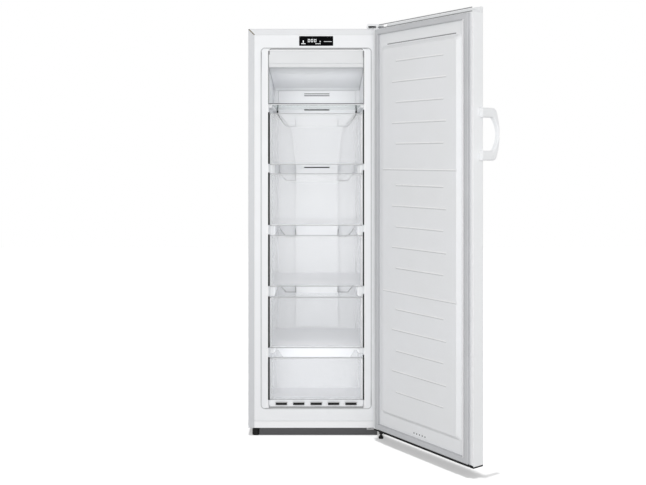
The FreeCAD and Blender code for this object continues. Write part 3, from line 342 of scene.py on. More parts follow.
# painted highlight and painted shade for the rims of the drawer fronts
rim_highlight_plastic = moulded("rim_highlight_plastic", tone(0.985, 0.985, 0.99), tone(0.97, 0.975, 0.98), 0.25, 0.005)
lip_shade_plastic = moulded("lip_shade_plastic", tone(0.76, 0.765, 0.77), tone(0.72, 0.725, 0.73), 0.3, 0.005)
drawer_plastic = clear("drawer_plastic", tone(0.885, 0.89, 0.90), 0.27, 0.62)
shelf_clear = clear("shelf_glass", tone(0.86, 0.91, 0.90), 0.05, 0.7, 0.06)
coil_fins = fins()
seal_finish = seal_rubber()
foam = foam_finish()
display_finish = display_black()
mark_light = lit_marks()

COATS = {
    painted_steel: "outer_shell", door_steel_painted_light: "door_skin", rail_steel_painted_light: "bottom_rail",
    liner_plastic: "inner_liner evaporator_cover air_duct floor_grille",
    trim_plastic: "door_top_cap hinge_cover handle_plugs", fascia_plastic: "top_fascia",
    shelf_edging: "shelf_trim", door_plastic: "door_liner", handle_plastic: "handle",
    foam: "cabinet_foam door_foam",
    galvanised_steel: "back_panel base_frame compressor_carrier rear_roller_brackets",
    screw_metal: "hinge_screws handle_screws", plinth_plastic: "base_plinth",
    black_and_gap_shade: "door_bottom_cap left_foot right_foot",
    black_plastic: "display_housing left_roller right_roller fan_rotor fan_shroud evaporating_tray "
                   "power_inlet compressor_relay",
    bearing_plastic: "hinge_bushes", black_enamel: "compressor lower_hinge_bracket",
    hinge_metal: "upper_hinge_bracket", copper_tube: "refrigerant_tubes side_condenser",
    coil_fins: "evaporator_coil drip_trough", heater_metal: "defrost_heater fan_motor",
    black_rubber: "compressor_mounts", seal_finish: "door_gasket", display_finish: "display_glass",
    shelf_clear: "glass_shelf", board_lacquer: "control_board",
    drawer_plastic: " ".join(f"drawer_{n}_{part}" for n in range(1, 6) for part in ("tub", "front")),
}
for coat, names in COATS.items():
    for name in names.split():
        mesh = nodes[name].data
        mesh.materials.clear()
        mesh.materials.append(coat)
        mesh.polygons.foreach_set("material_index", np.zeros(len(mesh.polygons), np.int32))


# ---------------------------------------------------------------- making a piece
def grid_faces(rows, columns, close_rows, close_columns):
    """Corner numbers of the quads of a rows by columns grid, which may close on itself either way."""
    row = np.arange(rows if close_rows else rows - 1)[:, None]
    above, below = row * columns, (row + 1) % rows * columns
    column = np.arange(columns if close_columns else columns - 1)[None, :]
    beside = (column + 1) % columns
    return np.stack([above + column, above + beside, below + beside, below + column], -1).reshape(-1, 4)


def opened(points):
    """Points of the shut door in its open pose: x and y are measured from the hinge line, turned by the
    opening angle with its cosine and sine, and measured from the cabinet again."""
    c, s = math.cos(OPEN_ANGLE), math.sin(OPEN_ANGLE)
    flat = (points[..., :2] - HINGE) @ np.array([[c, s], [-s, c]]) + HINGE
    return np.concatenate([flat, points[..., 2:]], -1)


def outward(points, faces):
    """The faces turned so that the volume they enclose, summed over their triangles, isn't negative."""
    a, b, c, d = (points[faces[:, k]] for k in range(4))
    volume = (np.cross(b - a, c - a) * a).sum() + (np.cross(c - a, d - a) * a).sum()
    return faces[:, ::-1] if volume < 0 else faces


def piece(name, points, faces, coat, body, smooth=True):
    """A new closed piece from points in millimetres, with its doubles merged."""
    double, flat_edge = 2e-6, 1e-6
    points = points.reshape(-1, 3) - ORIGIN
    mesh = bpy.data.meshes.new(name)
    mesh.from_pydata((points * MM).tolist(), [], outward(points, faces).tolist())
    work = bmesh.new()
    work.from_mesh(mesh)
    bmesh.ops.remove_doubles(work, verts=work.verts, dist=double)
    bmesh.ops.dissolve_degenerate(work, edges=work.edges, dist=flat_edge)
    work.to_mesh(mesh)
    work.free()
    mesh.polygons.foreach_set("use_smooth", np.full(len(mesh.polygons), smooth))
    mesh.materials.append(coat)
    shape = bpy.data.objects.new(name, mesh)
    bpy.context.scene.collection.objects.link(shape)
    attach(shape, body)
    return shape


def ring_piece(name, points, coat, body):
    """A piece from one grid of points that closes on itself both ways."""
    return piece(name, points, grid_faces(*points.shape[:2], True, True), coat, body)


def drawn_piece(name, grids, coat, body, smooth=True):
    """One piece from grids of the same size, each closed round its columns and drawn in to a point at its
    first and its last row."""
    rows, columns = grids[0].shape[:2]
    faces = grid_faces(rows, columns, False, True)
    points = np.concatenate([grid.reshape(-1, 3) for grid in grids])
    all_faces = np.concatenate([faces + n * rows * columns for n in range(len(grids))])
    return piece(name, points, all_faces, coat, body, smooth)


# ---------------------------------------------------------------- surfaces
def full_turn(count):
    """Angles evenly spaced round a circle."""
    return np.linspace(0, 2 * np.pi, count, endpoint=False)


def superellipse(count, power):
    """Section with squarer sides than a circle's: the cosine and the sine of the angle, each raised to the
    power with its sign kept."""
    c, s = np.cos(full_turn(count)), np.sin(full_turn(count))
    return np.sign(c) * np.abs(c) ** power, np.sign(s) * np.abs(s) ** power


def bar(x, y, z, soft):
    """A bar between two limits on each axis: a superellipse across X and Y, smaller by soft at both ends of
    Z and drawn in to a point there."""
    sides, power, first_step = 40, 0.25, 0.3
    ring_x, ring_y = superellipse(sides, power)
    step = soft * first_step
    draw = np.array([0.0, 1.0, 1.0, 1.0, 1.0, 1.0, 1.0, 0.0])
    inset = np.array([soft, soft, step, 0, 0, step, soft, soft])
    level = np.array([z[0], z[0], z[0] + step, z[0] + soft, z[1] - soft, z[1] - step, z[1], z[1]])
    half_x = ((x[1] - x[0]) / 2 - inset) * draw
    half_y = ((y[1] - y[0]) / 2 - np.minimum(inset, (y[1] - y[0]) / 2.5)) * draw
    return np.stack([
        (x[0] + x[1]) / 2 + half_x[:, None] * ring_x, (y[0] + y[1]) / 2 + half_y[:, None] * ring_y,
        np.broadcast_to(level[:, None], (len(level), sides))], -1)


def frame_sweep(half, low, high, inset, height, face_y):
    """A profile carried round an upright frame with mitred corners: at each inset the path is a smaller
    rectangle, and a point on it lies a given share of the way from one corner to the next."""
    share = np.array([0.0, 0.0015, 0.25, 0.5, 0.75, 0.9985])[None, :, None]
    corner_x = np.array([-1.0, 1.0, 1.0, -1.0])
    corner_z = np.array([-1.0, -1.0, 1.0, 1.0])
    x = corner_x[:, None] * (half - inset)
    z = np.where(corner_z[:, None] < 0, low + inset, high - inset)
    next_x, next_z = np.roll(x, -1, 0), np.roll(z, -1, 0)
    path_x = x[:, None] + share * (next_x - x)[:, None]
    path_z = z[:, None] + share * (next_z - z)[:, None]
    path_y = np.broadcast_to(face_y + height, path_x.shape)
    return np.stack([path_x, path_y, path_z], -1).reshape(-1, len(inset), 3)


def rounded_path(corners, radii, straight=14, bend=18):
    """Straight runs joined by arcs: each corner is cut back by radius times the tangent of half its turn."""
    p = np.array(corners, float)
    points, last = [], p[0]
    for n in range(1, len(p) - 1):
        a, b = p[n] - p[n - 1], p[n + 1] - p[n]
        a, b = a / np.linalg.norm(a), b / np.linalg.norm(b)
        cross = a[0] * b[1] - a[1] * b[0]
        turn = math.atan2(cross, a @ b)
        reach = radii[n - 1] * math.tan(abs(turn) / 2)
        start, end = p[n] - a * reach, p[n] + b * reach
        side = np.array([-a[1], a[0]]) * np.sign(turn)
        centre = start + side * radii[n - 1]
        angle = np.linspace(0, turn, bend)
        spoke = start - centre
        arc = centre + np.stack([spoke[0] * np.cos(angle) - spoke[1] * np.sin(angle),
                                 spoke[0] * np.sin(angle) + spoke[1] * np.cos(angle)], -1)
        run = last + (start - last) * np.linspace(0, 1, straight, endpoint=False)[:, None]
        points += [run, arc]
        last = end
    points.append(last + (p[-1] - last) * np.linspace(0, 1, straight)[:, None])
    return np.concatenate(points)


def rounded_frame(half, low, high, radius):
    """Closed upright frame line with round corners, as straight runs and quarter turns."""
    middle = (low + high) / 2
    corners = [(half, middle), (half, high), (-half, high), (-half, low), (half, low), (half, middle)]
    return rounded_path(corners, [radius] * 4, 10, 12)[:-1]


def oval_sweep(path, along, half, rise, front_y, sides):
    """A flat oval carried along a line in a front plane: each point lies half times the cosine of the angle
    to the side of the line, and rise times the sine off the plane."""
    along = along / np.linalg.norm(along, axis=1)[:, None]
    side = np.stack([-along[:, 1], along[:, 0]], -1)
    turn = full_turn(sides)
    flat = path[:, None] + side[:, None] * (half[:, None] * np.cos(turn))[..., None]
    return np.stack([flat[..., 0], front_y + rise[:, None] * np.sin(turn), flat[..., 1]], -1)


def from_ends(path):
    """How far each point is from the line's nearer end, as a share of the count of points."""
    share = np.linspace(0, 1, len(path))
    return np.minimum(share, 1 - share)


def open_bead(path, half_width, rise, front_y):
    """An oval sweep along an open line, drawn in over the last twentieth at both ends."""
    draw = np.clip(from_ends(path) / 0.05, 0, 1)
    return oval_sweep(path, np.gradient(path, axis=0), half_width * draw, rise * draw, front_y, 14)


def turned_dome(x, z, face_y, radius, rise, count):
    """A low dome turned about an axis along Y: its radius times the cosine and the sine of the angle, and its
    rise from the face."""
    turn = full_turn(count)
    return np.stack([x + radius[:, None] * np.cos(turn),
                     np.broadcast_to(face_y + rise[:, None], (len(radius), count)),
                     z + radius[:, None] * np.sin(turn)], -1)


# ---------------------------------------------------------------- pieces on the door
def handle_outline(root, half_height, neck, bow, half_bow, radii):
    """One outline of the handle from the side: out along the upper arm, down the bow and back along the
    lower arm, which mirrors the upper one. Straight runs are joined by arcs."""
    upper = [(DOOR_OUTER_Y + root, HANDLE_Z + half_height), (DOOR_OUTER_Y - neck, HANDLE_Z + half_height),
             (DOOR_OUTER_Y - bow, HANDLE_Z + half_bow)]
    lower = [(y, 2 * HANDLE_Z - z) for y, z in reversed(upper)]
    return rounded_path(upper + lower, [*radii, *reversed(radii)])


def bow_handle():
    """Superellipse sections of exponent 4.4 between an inner and an outer outline; the last sections at each
    end draw in to a point, so that the ends are closed."""
    sides, power = 48, 2 / 4.4
    out = handle_outline(root=26, half_height=101, neck=50, bow=68, half_bow=35, radii=(22, 200))
    inn = handle_outline(root=26, half_height=63, neck=36, bow=62, half_bow=22, radii=(18, 68))
    middle, reach = (out + inn) / 2, (out - inn) / 2
    ring_a, ring_b = superellipse(sides, power)
    end_draw = np.array([0.0, 0.93, 0.98])
    end_step = np.array([0.0, 0.0, 0.35])[:, None]
    draw = np.concatenate([end_draw, np.ones(len(out)), end_draw[::-1]])
    cap = end_step * (middle[1] - middle[0]) / np.linalg.norm(middle[1] - middle[0])
    middle = np.concatenate([middle[0] + cap, middle[:1] + 4 * cap[2], middle[1:-1],
                             middle[-1:] + 4 * cap[2], (middle[-1] + cap)[::-1]])
    reach = np.concatenate([np.repeat(reach[:1], 3, 0), reach, np.repeat(reach[-1:], 3, 0)])
    plane = middle[:, None] + reach[:, None] * ring_a[:, None] * draw[:, None, None]
    x = HANDLE_X + HANDLE_HALF_WIDTH * ring_b * draw[:, None]
    points = np.stack([x, plane[..., 0], plane[..., 1]], -1)
    shape = drawn_piece("bow_handle", [opened(points)], handle_plastic, "door")
    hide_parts("handle")


def door_seal():
    """The seal's closed profile, a foot, a waist and a soft bulb with rounded corners, carried round the
    door's frame."""
    across = np.array([0, 0, 0.6, 4.6, 5, 5, 4.2, 2.2, 1.5, 1.5, 2.4, 4.6, 8, 12, 16, 19.4, 21.6, 22.5, 22.5,
                       21.8, 19.8, 19, 19, 19.4, 23.4, 24, 24, 12], float)
    height = np.array([0, 2.2, 3, 3, 3.4, 5.2, 6, 6.6, 7.6, 9.8, 11.1, 11.5, 11.7, 11.2, 11.7, 11.5, 11.1,
                       9.8, 7.6, 6.6, 6, 5.2, 3.4, 3, 3, 2.2, 0, 0], float)
    points = frame_sweep(280.0, 49.0, 1770.0, across, height, DOOR_INNER_Y)
    shape = ring_piece("door_seal", opened(points), seal_finish, "door")
    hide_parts("door_gasket")


def door_bars(name, bars, coat):
    """Bars on the shut door, turned to the open pose as one piece."""
    drawn_piece(name, [opened(one) for one in bars], coat, "door")


def door_lines():
    """Fine bars on the door's inner face: a painted shade and a painted highlight along each groove of the
    raised middle, two upright painted highlights beside it, and dark lines of painted shade along the door's
    top, the top of the raised middle and the door's foot."""
    pitch, runs, long_grooves = 86.4, (1622.0, 1103.0, 585.0), (1168.5, 656.0)
    grooves = [(start - pitch * n, 150 + 15 * (n % 2), 135 + 25 * (n % 2))
               for start in runs for n in range(5)]
    grooves += [(z, 219, 219) for z in long_grooves]
    plug_y, back = DOOR_INNER_Y + PLUG_RISE, DOOR_INNER_Y - SUNK
    depth = (plug_y - 0.9, plug_y + 0.15)
    # painted shade under each groove and painted highlight over it
    shades = [bar((-left, right), depth, (z - 3.9, z - 1.3), 0.4) for z, left, right in grooves]
    lights = [bar((-left, right), depth, (z - 0.6, z + 4.6), 0.4) for z, left, right in grooves]
    uprights = (((-254.0, -249.4), -291.6), ((-296.6, -290.6), -300.9))
    lights += [bar(x, (back, top), (68.0, 1750.0), 0.5) for x, top in uprights]
    # painted shade along the top of the raised middle and along the door's top edge
    seams = [bar((-206.0, 206.0), (back, -301.1), (1698.2, 1702.4), 0.4)]
    seams += [bar((-292.0, 262.0), (back, -301.3), z, 0.3) for z in ((1787.0, 1791.2), (1773.0, 1777.0))]
    # painted shade along the door's foot
    foot = [bar((-280.0, 262.0), (back, -292.6), (41.4, 48.4), 0.4),
            bar((-297.0, -279.0), (back, -301.0), (39.8, 48.4), 0.4)]
    door_bars("groove_shades", shades, groove_shade_grey)
    door_bars("groove_lights", lights, highlight_plastic)
    door_bars("door_edge_shade_lines", seams, shade_line_grey)
    door_bars("door_foot_shade", foot, black_and_gap_shade)


def vent_dots():
    """Five small vents low on the door's inner face: shallow turned domes in black, as painted shade for
    their holes.
    """
    radius = np.array([0, 2.6, 2.9, 2.5, 1.3, 0], float)
    rise = np.array([0, 0, 0.15, 0.35, 0.5, 0.5], float)
    places, height = np.linspace(37.8, -28.3, 5), 89.6
    dots = [opened(turned_dome(x, height, DOOR_INNER_Y - SUNK, radius, rise, 18)) for x in places]
    drawn_piece("vent_dots", dots, black_and_gap_shade, "door")


# ---------------------------------------------------------------- pieces on the drawers
def drawer_rims():
    """Painted highlights up the sides of each drawer front, painted shade along its lip and under its foot,
    and a dark line of painted shade at the gap by its left side: bars that stand on the rim."""
    for n, (low, high) in enumerate(DRAWERS, 1):
        depth = (RIM_Y - 1.5, RIM_Y)
        # painted highlights up both sides of the front
        sides = [bar((x - 2.2, x + 2.2), depth, (low + 1.0, high - 4.5), 0.5) for x in (-200.4, 201.6)]
        # painted shade along the top lip and under the foot
        lip_shades = [bar((-203.6, 203.6), (RIM_Y - 1.4, RIM_Y), (high - 4.0, high), 0.5),
                bar((-203.6, 203.6), (-274.0, -268.0), (low - 3.2, low), 0.5)]
        # painted shade at the gap by the left side
        edge = [bar((-204.0, -202.7), depth, (low + 1.0, high - 1.0), 0.3)]
        parts = (("side", sides, rim_highlight_plastic), ("lip", lip_shades, lip_shade_plastic), ("edge", edge, black_and_gap_shade))
        for name, bars, coat in parts:
            drawn_piece(f"drawer_{n}_{name}", bars, coat, f"drawer_{n}")


def notch_edges():
    """Painted shade along the edge of the two notches in each long tub's back: a grey bead along a line with
    three bends.
    """
    tub_back_y, half_width, rise = 139.4, 1.7, 0.5
    for n, (low, high) in enumerate(DRAWERS[:4], 1):
        beads = []
        for side in (-1, 1):
            corners = [(side * 104.0, high), (side * 102.0, high - 42.0), (side * 150.0, high - 42.0),
                       (side * 175.0, high - 13.0), (side * 178.0, high - 1.0)]
            beads.append(open_bead(rounded_path(corners, [2, 3, 3], 6, 5), half_width, rise, tub_back_y))
        drawn_piece(f"drawer_{n}_notch", beads, shade_line_grey, f"drawer_{n}")


# ---------------------------------------------------------------- pieces on the cabinet
def mouth_bead():
    """A low bead carried round the mouth of the cabinet, in whiter plastic as a painted highlight: half an
    oval 4.8 mm wide and 0.7 mm high.
    """
    half_width, height, depth = 2.4, 0.7, 0.4
    turn = full_turn(20)
    across = 2.6 + half_width * np.cos(turn)
    off_face = np.where(np.sin(turn) < 0, height * np.sin(turn), depth * np.sin(turn))
    points = frame_sweep(217.4, 119.6, 1692.6, across, off_face, FRAME_Y + SUNK)
    ring_piece("mouth_bead", points, highlight_plastic, "cabinet")


def mouth_shadow_line():
    """Thin dark line of painted shadow over the mouth: an oval sweep along straight runs and two arcs of 11
    mm, wider from its ends to past the arcs and drawn in at both ends."""
    wide, narrow, highest = 2.1, 1.3, 0.45
    corners = [(-207.2, 1668.0), (-207.2, 1695.2), (207.2, 1695.2), (207.2, 1652.0)]
    path = rounded_path(corners, [11, 11], 8, 14)
    share = from_ends(path)
    half = np.where(share > 0.18, narrow, wide) * np.clip(share / 0.05, 0, 1)
    shadow_line = oval_sweep(path, np.gradient(path, axis=0), half, np.clip(half, 0, highest), FRAME_Y, 16)
    drawn_piece("mouth_shadow_line", [shadow_line], black_and_gap_shade, "cabinet")


def pocket_edge_shade():
    """Painted shade along the pocket's rounded rim: an oval sweep along a closed line."""
    path = rounded_frame(half=241.6, low=116.9, high=1698.6, radius=16.6)
    along = np.roll(path, -1, 0) - np.roll(path, 1, 0)
    half, rise = np.full(len(path), 2.4), np.full(len(path), 0.35)
    rim = oval_sweep(path, along, half, rise, FRONT_Y, 14)
    ring_piece("pocket_edge_shade", rim, edge_shade_grey, "cabinet")


def gap_shade_strips():
    """Black bars of painted shade over the gap beside each drawer, and paler grey ones beside the bay: bars
    on the frame."""
    front = FRAME_Y - 0.6
    beside_drawers = (((-211.4, -204.3), 4.0), ((204.9, 210.8), 15.0))
    beside_bay = ((-211.2, -207.6), (206.6, 210.8))
    strips = [bar(x, (front, -285.4), (low + 1, high + over), 0.4)
              for low, high in DRAWERS for x, over in beside_drawers]
    seams = [bar(x, (front, -285.5), (1452.0, 1686.0), 0.4) for x in beside_bay]
    drawn_piece("gap_shade_strips", strips, black_and_gap_shade, "cabinet")
    drawn_piece("bay_shade_lines", seams, shade_line_grey, "cabinet")


def sill_shadow_strip():
    """Painted shadow along the foot of the opening, in grey: one bar."""
    sill = bar((-208.0, 208.0), (-288.4, -285.2), (112.8, 125.6), 0.5)
    drawn_piece("sill_shadow_strip", [sill], sill_shade_grey, "cabinet")


def duct_shade_lines():
    """Painted shade along the edge at each shoulder of the air duct: a black bead along a line with two
    bends.
    """
    duct_y, half_width, rise = 145.9, 3.0, 0.5
    beads = []
    for side in (-1, 1):
        corners = [(side * 191.5, 1449.0), (side * 191.5, 1431.0), (side * 180.0, 1412.0),
                   (side * 160.5, 1381.0)]
        beads.append(open_bead(rounded_path(corners, [18, 60], 8, 8), half_width, rise, duct_y))
    drawn_piece("duct_shade_lines", beads, black_and_gap_shade, "cabinet")


def duct_shoulders():
    """Upright panels that close the back wall on each side of the air duct, over the shelf: two bars."""
    panels = [bar(x, (146.2, 149.2), (1454.5, 1549.0), 0.8) for x in ((-209.0, -189.0), (189.0, 209.0))]
    drawn_piece("duct_shoulders", panels, liner_plastic, "cabinet")


def slot_shades():
    """Black painted shade behind every air slot and grille slot: bars."""
    rows = [(1529.6, 3.2), (1520.4, 3.2), (1471.7, 4.8), (1451.0, 4.8)]
    rows += [(high + 21.5, 4.8) for low, high in DRAWERS[1:4]]
    slot_shade = [bar((-61.5, 61.5), (147.3, 150.8), (z - tall / 2, z + tall / 2), 0.5) for z, tall in rows]
    slot_shade += [bar((-55.5, 55.5), (3.4, 7.6), (1577.0, 1578.6), 0.4)]
    slot_shade += [bar((x - 24.6, x + 24.6), (-286.2, -284.6), (131.9, 142.2), 0.3) for x in GRILLE_SLOTS]
    drawn_piece("slot_shades", slot_shade, black_and_gap_shade, "cabinet")


def grille_lip_shades():
    """Painted shade in grey on the lip over each grille slot: bars."""
    lip_shades = [bar((x - 27.5, x + 27.5), (-285.9, -284.6), (141.6, 144.6), 0.3) for x in GRILLE_SLOTS]
    drawn_piece("grille_lip_shades", lip_shades, edge_shade_grey, "cabinet")


def compressor_can():
    """The can turned about its upright axis: radius against height, with a domed top and bottom and the
    raised weld at half height."""
    profile = np.array([
        (0, 61.5), (40, 61.6), (62, 63.5), (73, 68), (79, 76), (81.4, 88), (81.8, 110), (81.8, 131),
        (83.4, 132), (84.2, 134), (84.2, 138), (83.4, 140), (81.8, 141), (81.6, 165), (80.4, 183), (76, 196),
        (67, 205), (52, 210.2), (30, 212.8), (12, 213.6), (0, 213.8)], float)
    turn, radius = full_turn(96), profile[:, :1]
    can = np.stack([COMPRESSOR[0] + radius * np.cos(turn), COMPRESSOR[1] + radius * np.sin(turn),
                    np.broadcast_to(profile[:, 1:], (len(profile), len(turn)))], -1)
    drawn_piece("compressor_can", [can], black_enamel, "cabinet")


def compressor_foot():
    """The four-armed foot plate: one outline at each level, drawn in to the middle at top and bottom. The
    outline is rounded by the mean of each point and its two neighbours on both sides."""
    right = np.array([(100, 75), (66, 75), (50, 48)], float)
    left, front = right * (-1, 1), (1, -1)
    corner = np.concatenate([left * front, right[::-1] * front, right, left[::-1]]) + COMPRESSOR
    share = np.linspace(0, 1, 8, endpoint=False)[None, :, None]
    edge = (corner[:, None] + share * (np.roll(corner, -1, 0) - corner)[:, None]).reshape(-1, 2)
    soft = sum(np.roll(edge, k, 0) for k in (-2, -1, 0, 1, 2)) / 5
    draw = np.array([0.0, 0.6, 0.985, 1.0, 1.0, 0.985, 0.6, 0.0])
    level = np.array([58, 58, 58, 58.6, 60.4, 61, 61, 61.0])
    flat = COMPRESSOR + (soft[None] - COMPRESSOR) * draw[:, None, None]
    plate = np.concatenate([flat, np.broadcast_to(level[:, None, None], (len(level), len(soft), 1))], -1)
    shape = drawn_piece("compressor_foot", [plate], black_enamel, "cabinet")
    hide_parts("compressor")


def screw_heads():
    """Pan heads at the back panel's edge: turned domes with a sunk middle."""
    panel_y = 283.75
    places = [(x, z) for x in (-286.0, 286.0) for z in (330.0, 640.0, 950.0, 1260.0, 1570.0)]
    places += [(x, z) for z in (1768.0, 318.0) for x in (-190.0, 0.0, 190.0)]
    radius = np.array([0, 3.9, 4.2, 4.1, 3.4, 2.2, 1.3, 1.2, 0], float)
    rise = np.array([0, 0, 0.3, 0.6, 0.95, 1.15, 1.15, 0.5, 0.5], float)
    heads = [turned_dome(x, z, panel_y, radius, rise, 20) for x, z in places]
    drawn_piece("back_screw_heads", heads, screw_metal, "cabinet")


def digit_strokes(x, z, width=9.0, height=12.5, line=1.7):
    """The four strokes of an empty digit: bottom, top, left and right."""
    return [(x, x + width, z, z + line), (x, x + width, z + height - line, z + height),
            (x, x + line, z, z + height), (x + width - line, x + width, z, z + height)]


def display_marks():
    """Lit strokes on the display: thin slabs, each an outline of four corners carried 0.15 mm outwards and
    drawn in to its middle at both ends."""
    behind, ahead = -289.97, -290.12
    strokes = [(-66, -47, 1716.6, 1719.2), (-58.5, -54.5, 1722, 1732)]
    for x in (-36, -22.5, -8.5):
        strokes += digit_strokes(x, 1725)
    strokes += [(-4, 20, 1716.8, 1718.6), (16, 19, 1724, 1730), (34, 68, 1726.4, 1728.0)]
    x0, x1, z0, z1 = np.array(strokes).T[..., None, None]
    draw = np.array([0.0, 1.0, 1.0, 0.0])[:, None]
    ring_x, ring_z = np.concatenate([x0, x1, x1, x0], -1), np.concatenate([z0, z0, z1, z1], -1)
    middle_x, middle_z = ring_x.mean(-1, keepdims=True), ring_z.mean(-1, keepdims=True)
    wide, tall = middle_x + (ring_x - middle_x) * draw, middle_z + (ring_z - middle_z) * draw
    deep = np.broadcast_to(np.array([behind, behind, ahead, ahead])[:, None], wide.shape)
    slabs = np.stack([wide, deep, tall], -1)
    drawn_piece("display_marks", slabs, mark_light, "cabinet", smooth=False)


bow_handle()
door_seal()
mouth_bead()
mouth_shadow_line()
vent_dots()
slot_shades()
grille_lip_shades()
duct_shade_lines()
duct_shoulders()
door_lines()
drawer_rims()
notch_edges()
sill_shadow_strip()
pocket_edge_shade()
gap_shade_strips()
compressor_can()
compressor_foot()
screw_heads()
display_marks()


# ---------------------------------------------------------------- soft edges on the stored pieces
def soften(name, width_mm):
    """A small rounding along the piece's edges that turn by more than 32 degrees."""
    shape = nodes[name]
    weld = shape.modifiers.new("weld", "WELD")
    weld.merge_threshold = 1e-5
    bevel = shape.modifiers.new("soft_edges", "BEVEL")
    bevel.width = width_mm * MM
    bevel.segments = 2
    bevel.limit_method = "ANGLE"
    bevel.angle_limit = math.radians(32)
    bevel.use_clamp_overlap = True
    bevel.harden_normals = True


for name in "hinge_cover door_top_cap door_bottom_cap top_fascia floor_grille base_plinth".split():
    soften(name, 0.8)
for n in range(1, 6):
    soften(f"drawer_{n}_front", 0.6)


# ---------------------------------------------------------------- floor, light and camera, in metres
def floor_finish():
    """Pale floor that reads white where nothing shades it and keeps the shadows under the object."""
    f = Finish("pale_floor", tone(0.62), 0.9, Specular_IOR_Level=0.05)
    f.cloud(1.5, tone(0.615))
    seen = f.new("ShaderNodeLightPath").outputs["Is Camera Ray"]
    f.paint_over(seen, tone(0.78))
    glow = f.new("ShaderNodeEmission")
    glow.inputs["Color"].default_value = tone(1.0)
    f.join(f.maths("MULTIPLY", seen, 0.31), glow.inputs["Strength"])
    both = f.new("ShaderNodeAddShader")
    f.join(f.shader.outputs[0], both.inputs[0])
    f.join(glow.outputs[0], both.inputs[1])
    f.join(both.outputs[0], f.tree.nodes["Material Output"].inputs["Surface"])
    return f.material


def studio_floor():
    """A flat square: both sides run from minus to plus eight metres."""
    edge = np.linspace(-8.0, 8.0, 9)
    x, y = np.meshgrid(edge, edge, indexing="ij")
    faces = grid_faces(len(edge), len(edge), False, False)[:, ::-1]
    mesh = bpy.data.meshes.new("studio_floor")
    mesh.from_pydata(np.stack([x, y, 0 * x], -1).reshape(-1, 3).tolist(), [], faces.tolist())
    mesh.materials.append(floor_finish())
    floor = bpy.data.objects.new("studio_floor", mesh)
    bpy.context.scene.collection.objects.link(floor)
    return floor


def surroundings(level):
    """White where seen or mirrored, and an even soft light of the given level on everything else."""
    world = bpy.data.worlds.new("studio")
    bpy.context.scene.world = world
    world.use_nodes = True
    tree = world.node_tree
    light = tree.nodes["Background"]
    light.inputs["Color"].default_value = tone(1.0)
    path = tree.nodes.new("ShaderNodeLightPath")
    total = path.outputs["Is Camera Ray"]
    for kind in ("Is Glossy Ray", "Is Transmission Ray"):
        larger = tree.nodes.new("ShaderNodeMath")
        larger.operation = "MAXIMUM"
        tree.links.new(total, larger.inputs[0])
        tree.links.new(path.outputs[kind], larger.inputs[1])
        total = larger.outputs[0]
    strength = tree.nodes.new("ShaderNodeMapRange")
    strength.inputs["To Min"].default_value = level
    strength.inputs["To Max"].default_value = 1.0
    tree.links.new(total, strength.inputs["Value"])
    tree.links.new(strength.outputs[0], light.inputs["Strength"])


def panel_light(name, place, aim, width, height, watts):
    """A flat lamp at a place, turned to an aim, both measured from the floor under the cabinet's middle."""
    data = bpy.data.lights.new(name, "AREA")
    data.shape = "RECTANGLE"
    data.size, data.size_y = width, height
    data.energy = watts
    lamp = bpy.data.objects.new(name, data)
    bpy.context.scene.collection.objects.link(lamp)
    away = np.array(place, float) - np.array(aim, float)
    tilt, heading = math.acos(away[2] / np.linalg.norm(away)), math.atan2(away[0], -away[1])
    lamp.location = np.array(place) - ORIGIN * MM
    lamp.rotation_euler = (tilt, 0.0, heading)
    lamp.visible_camera = False
    return lamp


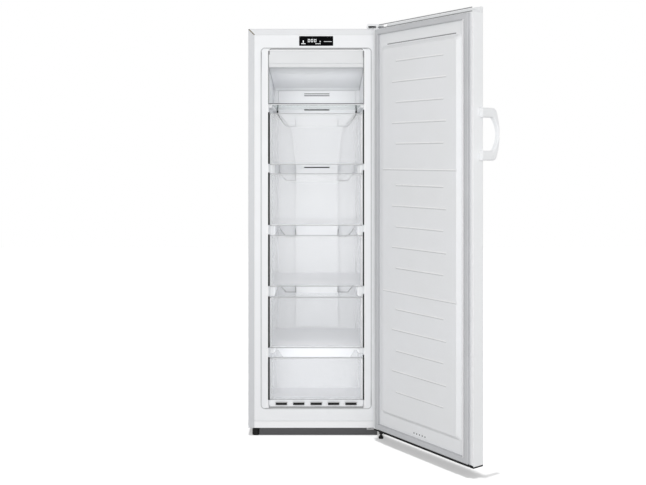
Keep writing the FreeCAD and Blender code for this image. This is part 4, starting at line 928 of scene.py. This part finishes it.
def floor_light(floor, strength):
    """Light from straight above that falls on the floor alone, so that the object's shadow lies under
    it."""
    data = bpy.data.lights.new("floor_light", "SUN")
    data.energy = strength
    data.angle = math.radians(1.0)
    lamp = bpy.data.objects.new("floor_light", data)
    bpy.context.scene.collection.objects.link(lamp)
    tilt_back, tilt_left = 0.0031, -0.0042
    lamp.location = (0.0, 0.0, 5.0)
    lamp.rotation_euler = (tilt_back, tilt_left, 0.0)
    only = bpy.data.collections.new("floor_only")
    only.objects.link(floor)
    lamp.light_linking.receiver_collection = only


def off_the_floor(lamp, floor):
    """Keep a lamp's light off the floor, which has its own, and the lamp out of mirror images."""
    rest = bpy.data.collections.new(lamp.name + "_not_floor")
    rest.objects.link(floor)
    rest.collection_objects[0].light_linking.link_state = "EXCLUDE"
    lamp.light_linking.receiver_collection = rest
    lamp.visible_glossy = False


def camera():
    """The photo's view, level and upright. The picture's height sets the lens, and the width given here only
    says how far back a view from round the object stands."""
    picture_width, picture_height = 646, 485
    data = bpy.data.cameras.new("camera")
    data.sensor_fit = "VERTICAL"
    data.sensor_height = 36.0 * picture_height / picture_width
    data.sensor_width = 28.4
    data.lens = 49.04
    data.shift_y = -0.1308 * picture_width / picture_height
    data.clip_start, data.clip_end = 0.05, 100.0
    view = bpy.data.objects.new("camera", data)
    view.location = np.array([0.03, -4.15, 1.2164]) - ORIGIN * MM
    view.rotation_euler = (math.pi / 2, 0.0, 0.0)
    bpy.context.scene.collection.objects.link(view)
    bpy.context.scene.camera = view


def lamps(floor):
    """A large soft lamp in front, one behind on each side, and two weak ones inside the cabinet."""
    panel_light("front_light", place=(-0.3, -5.4, 1.5), aim=(0.0, -0.3, 0.9), width=3.6, height=2.8,
                watts=112.0)
    for side, x in (("left", -3.4), ("right", 3.4)):
        back = panel_light(f"back_{side}_light", place=(x, 4.0, 2.6), aim=(0.0, 0.0, 0.9), width=2.0,
                           height=2.6, watts=100.0)
        off_the_floor(back, floor)
    bay = panel_light("bay_light", place=(0.0, -0.15, 1.458), aim=(0.0, -0.03, 1.60), width=0.36,
                      height=0.14, watts=0.12)
    inside = panel_light("inside_light", place=(0.0, -0.262, 0.65), aim=(0.0, 0.3, 0.65), width=0.36,
                         height=1.00, watts=0.55)
    bay.visible_glossy = inside.visible_glossy = False


floor = studio_floor()
floor_light(floor, strength=2.4)
surroundings(level=0.57)
lamps(floor)
camera()
bpy.context.scene.view_settings.view_transform = "Standard"
bpy.context.scene.cycles.transparent_max_bounces = 24
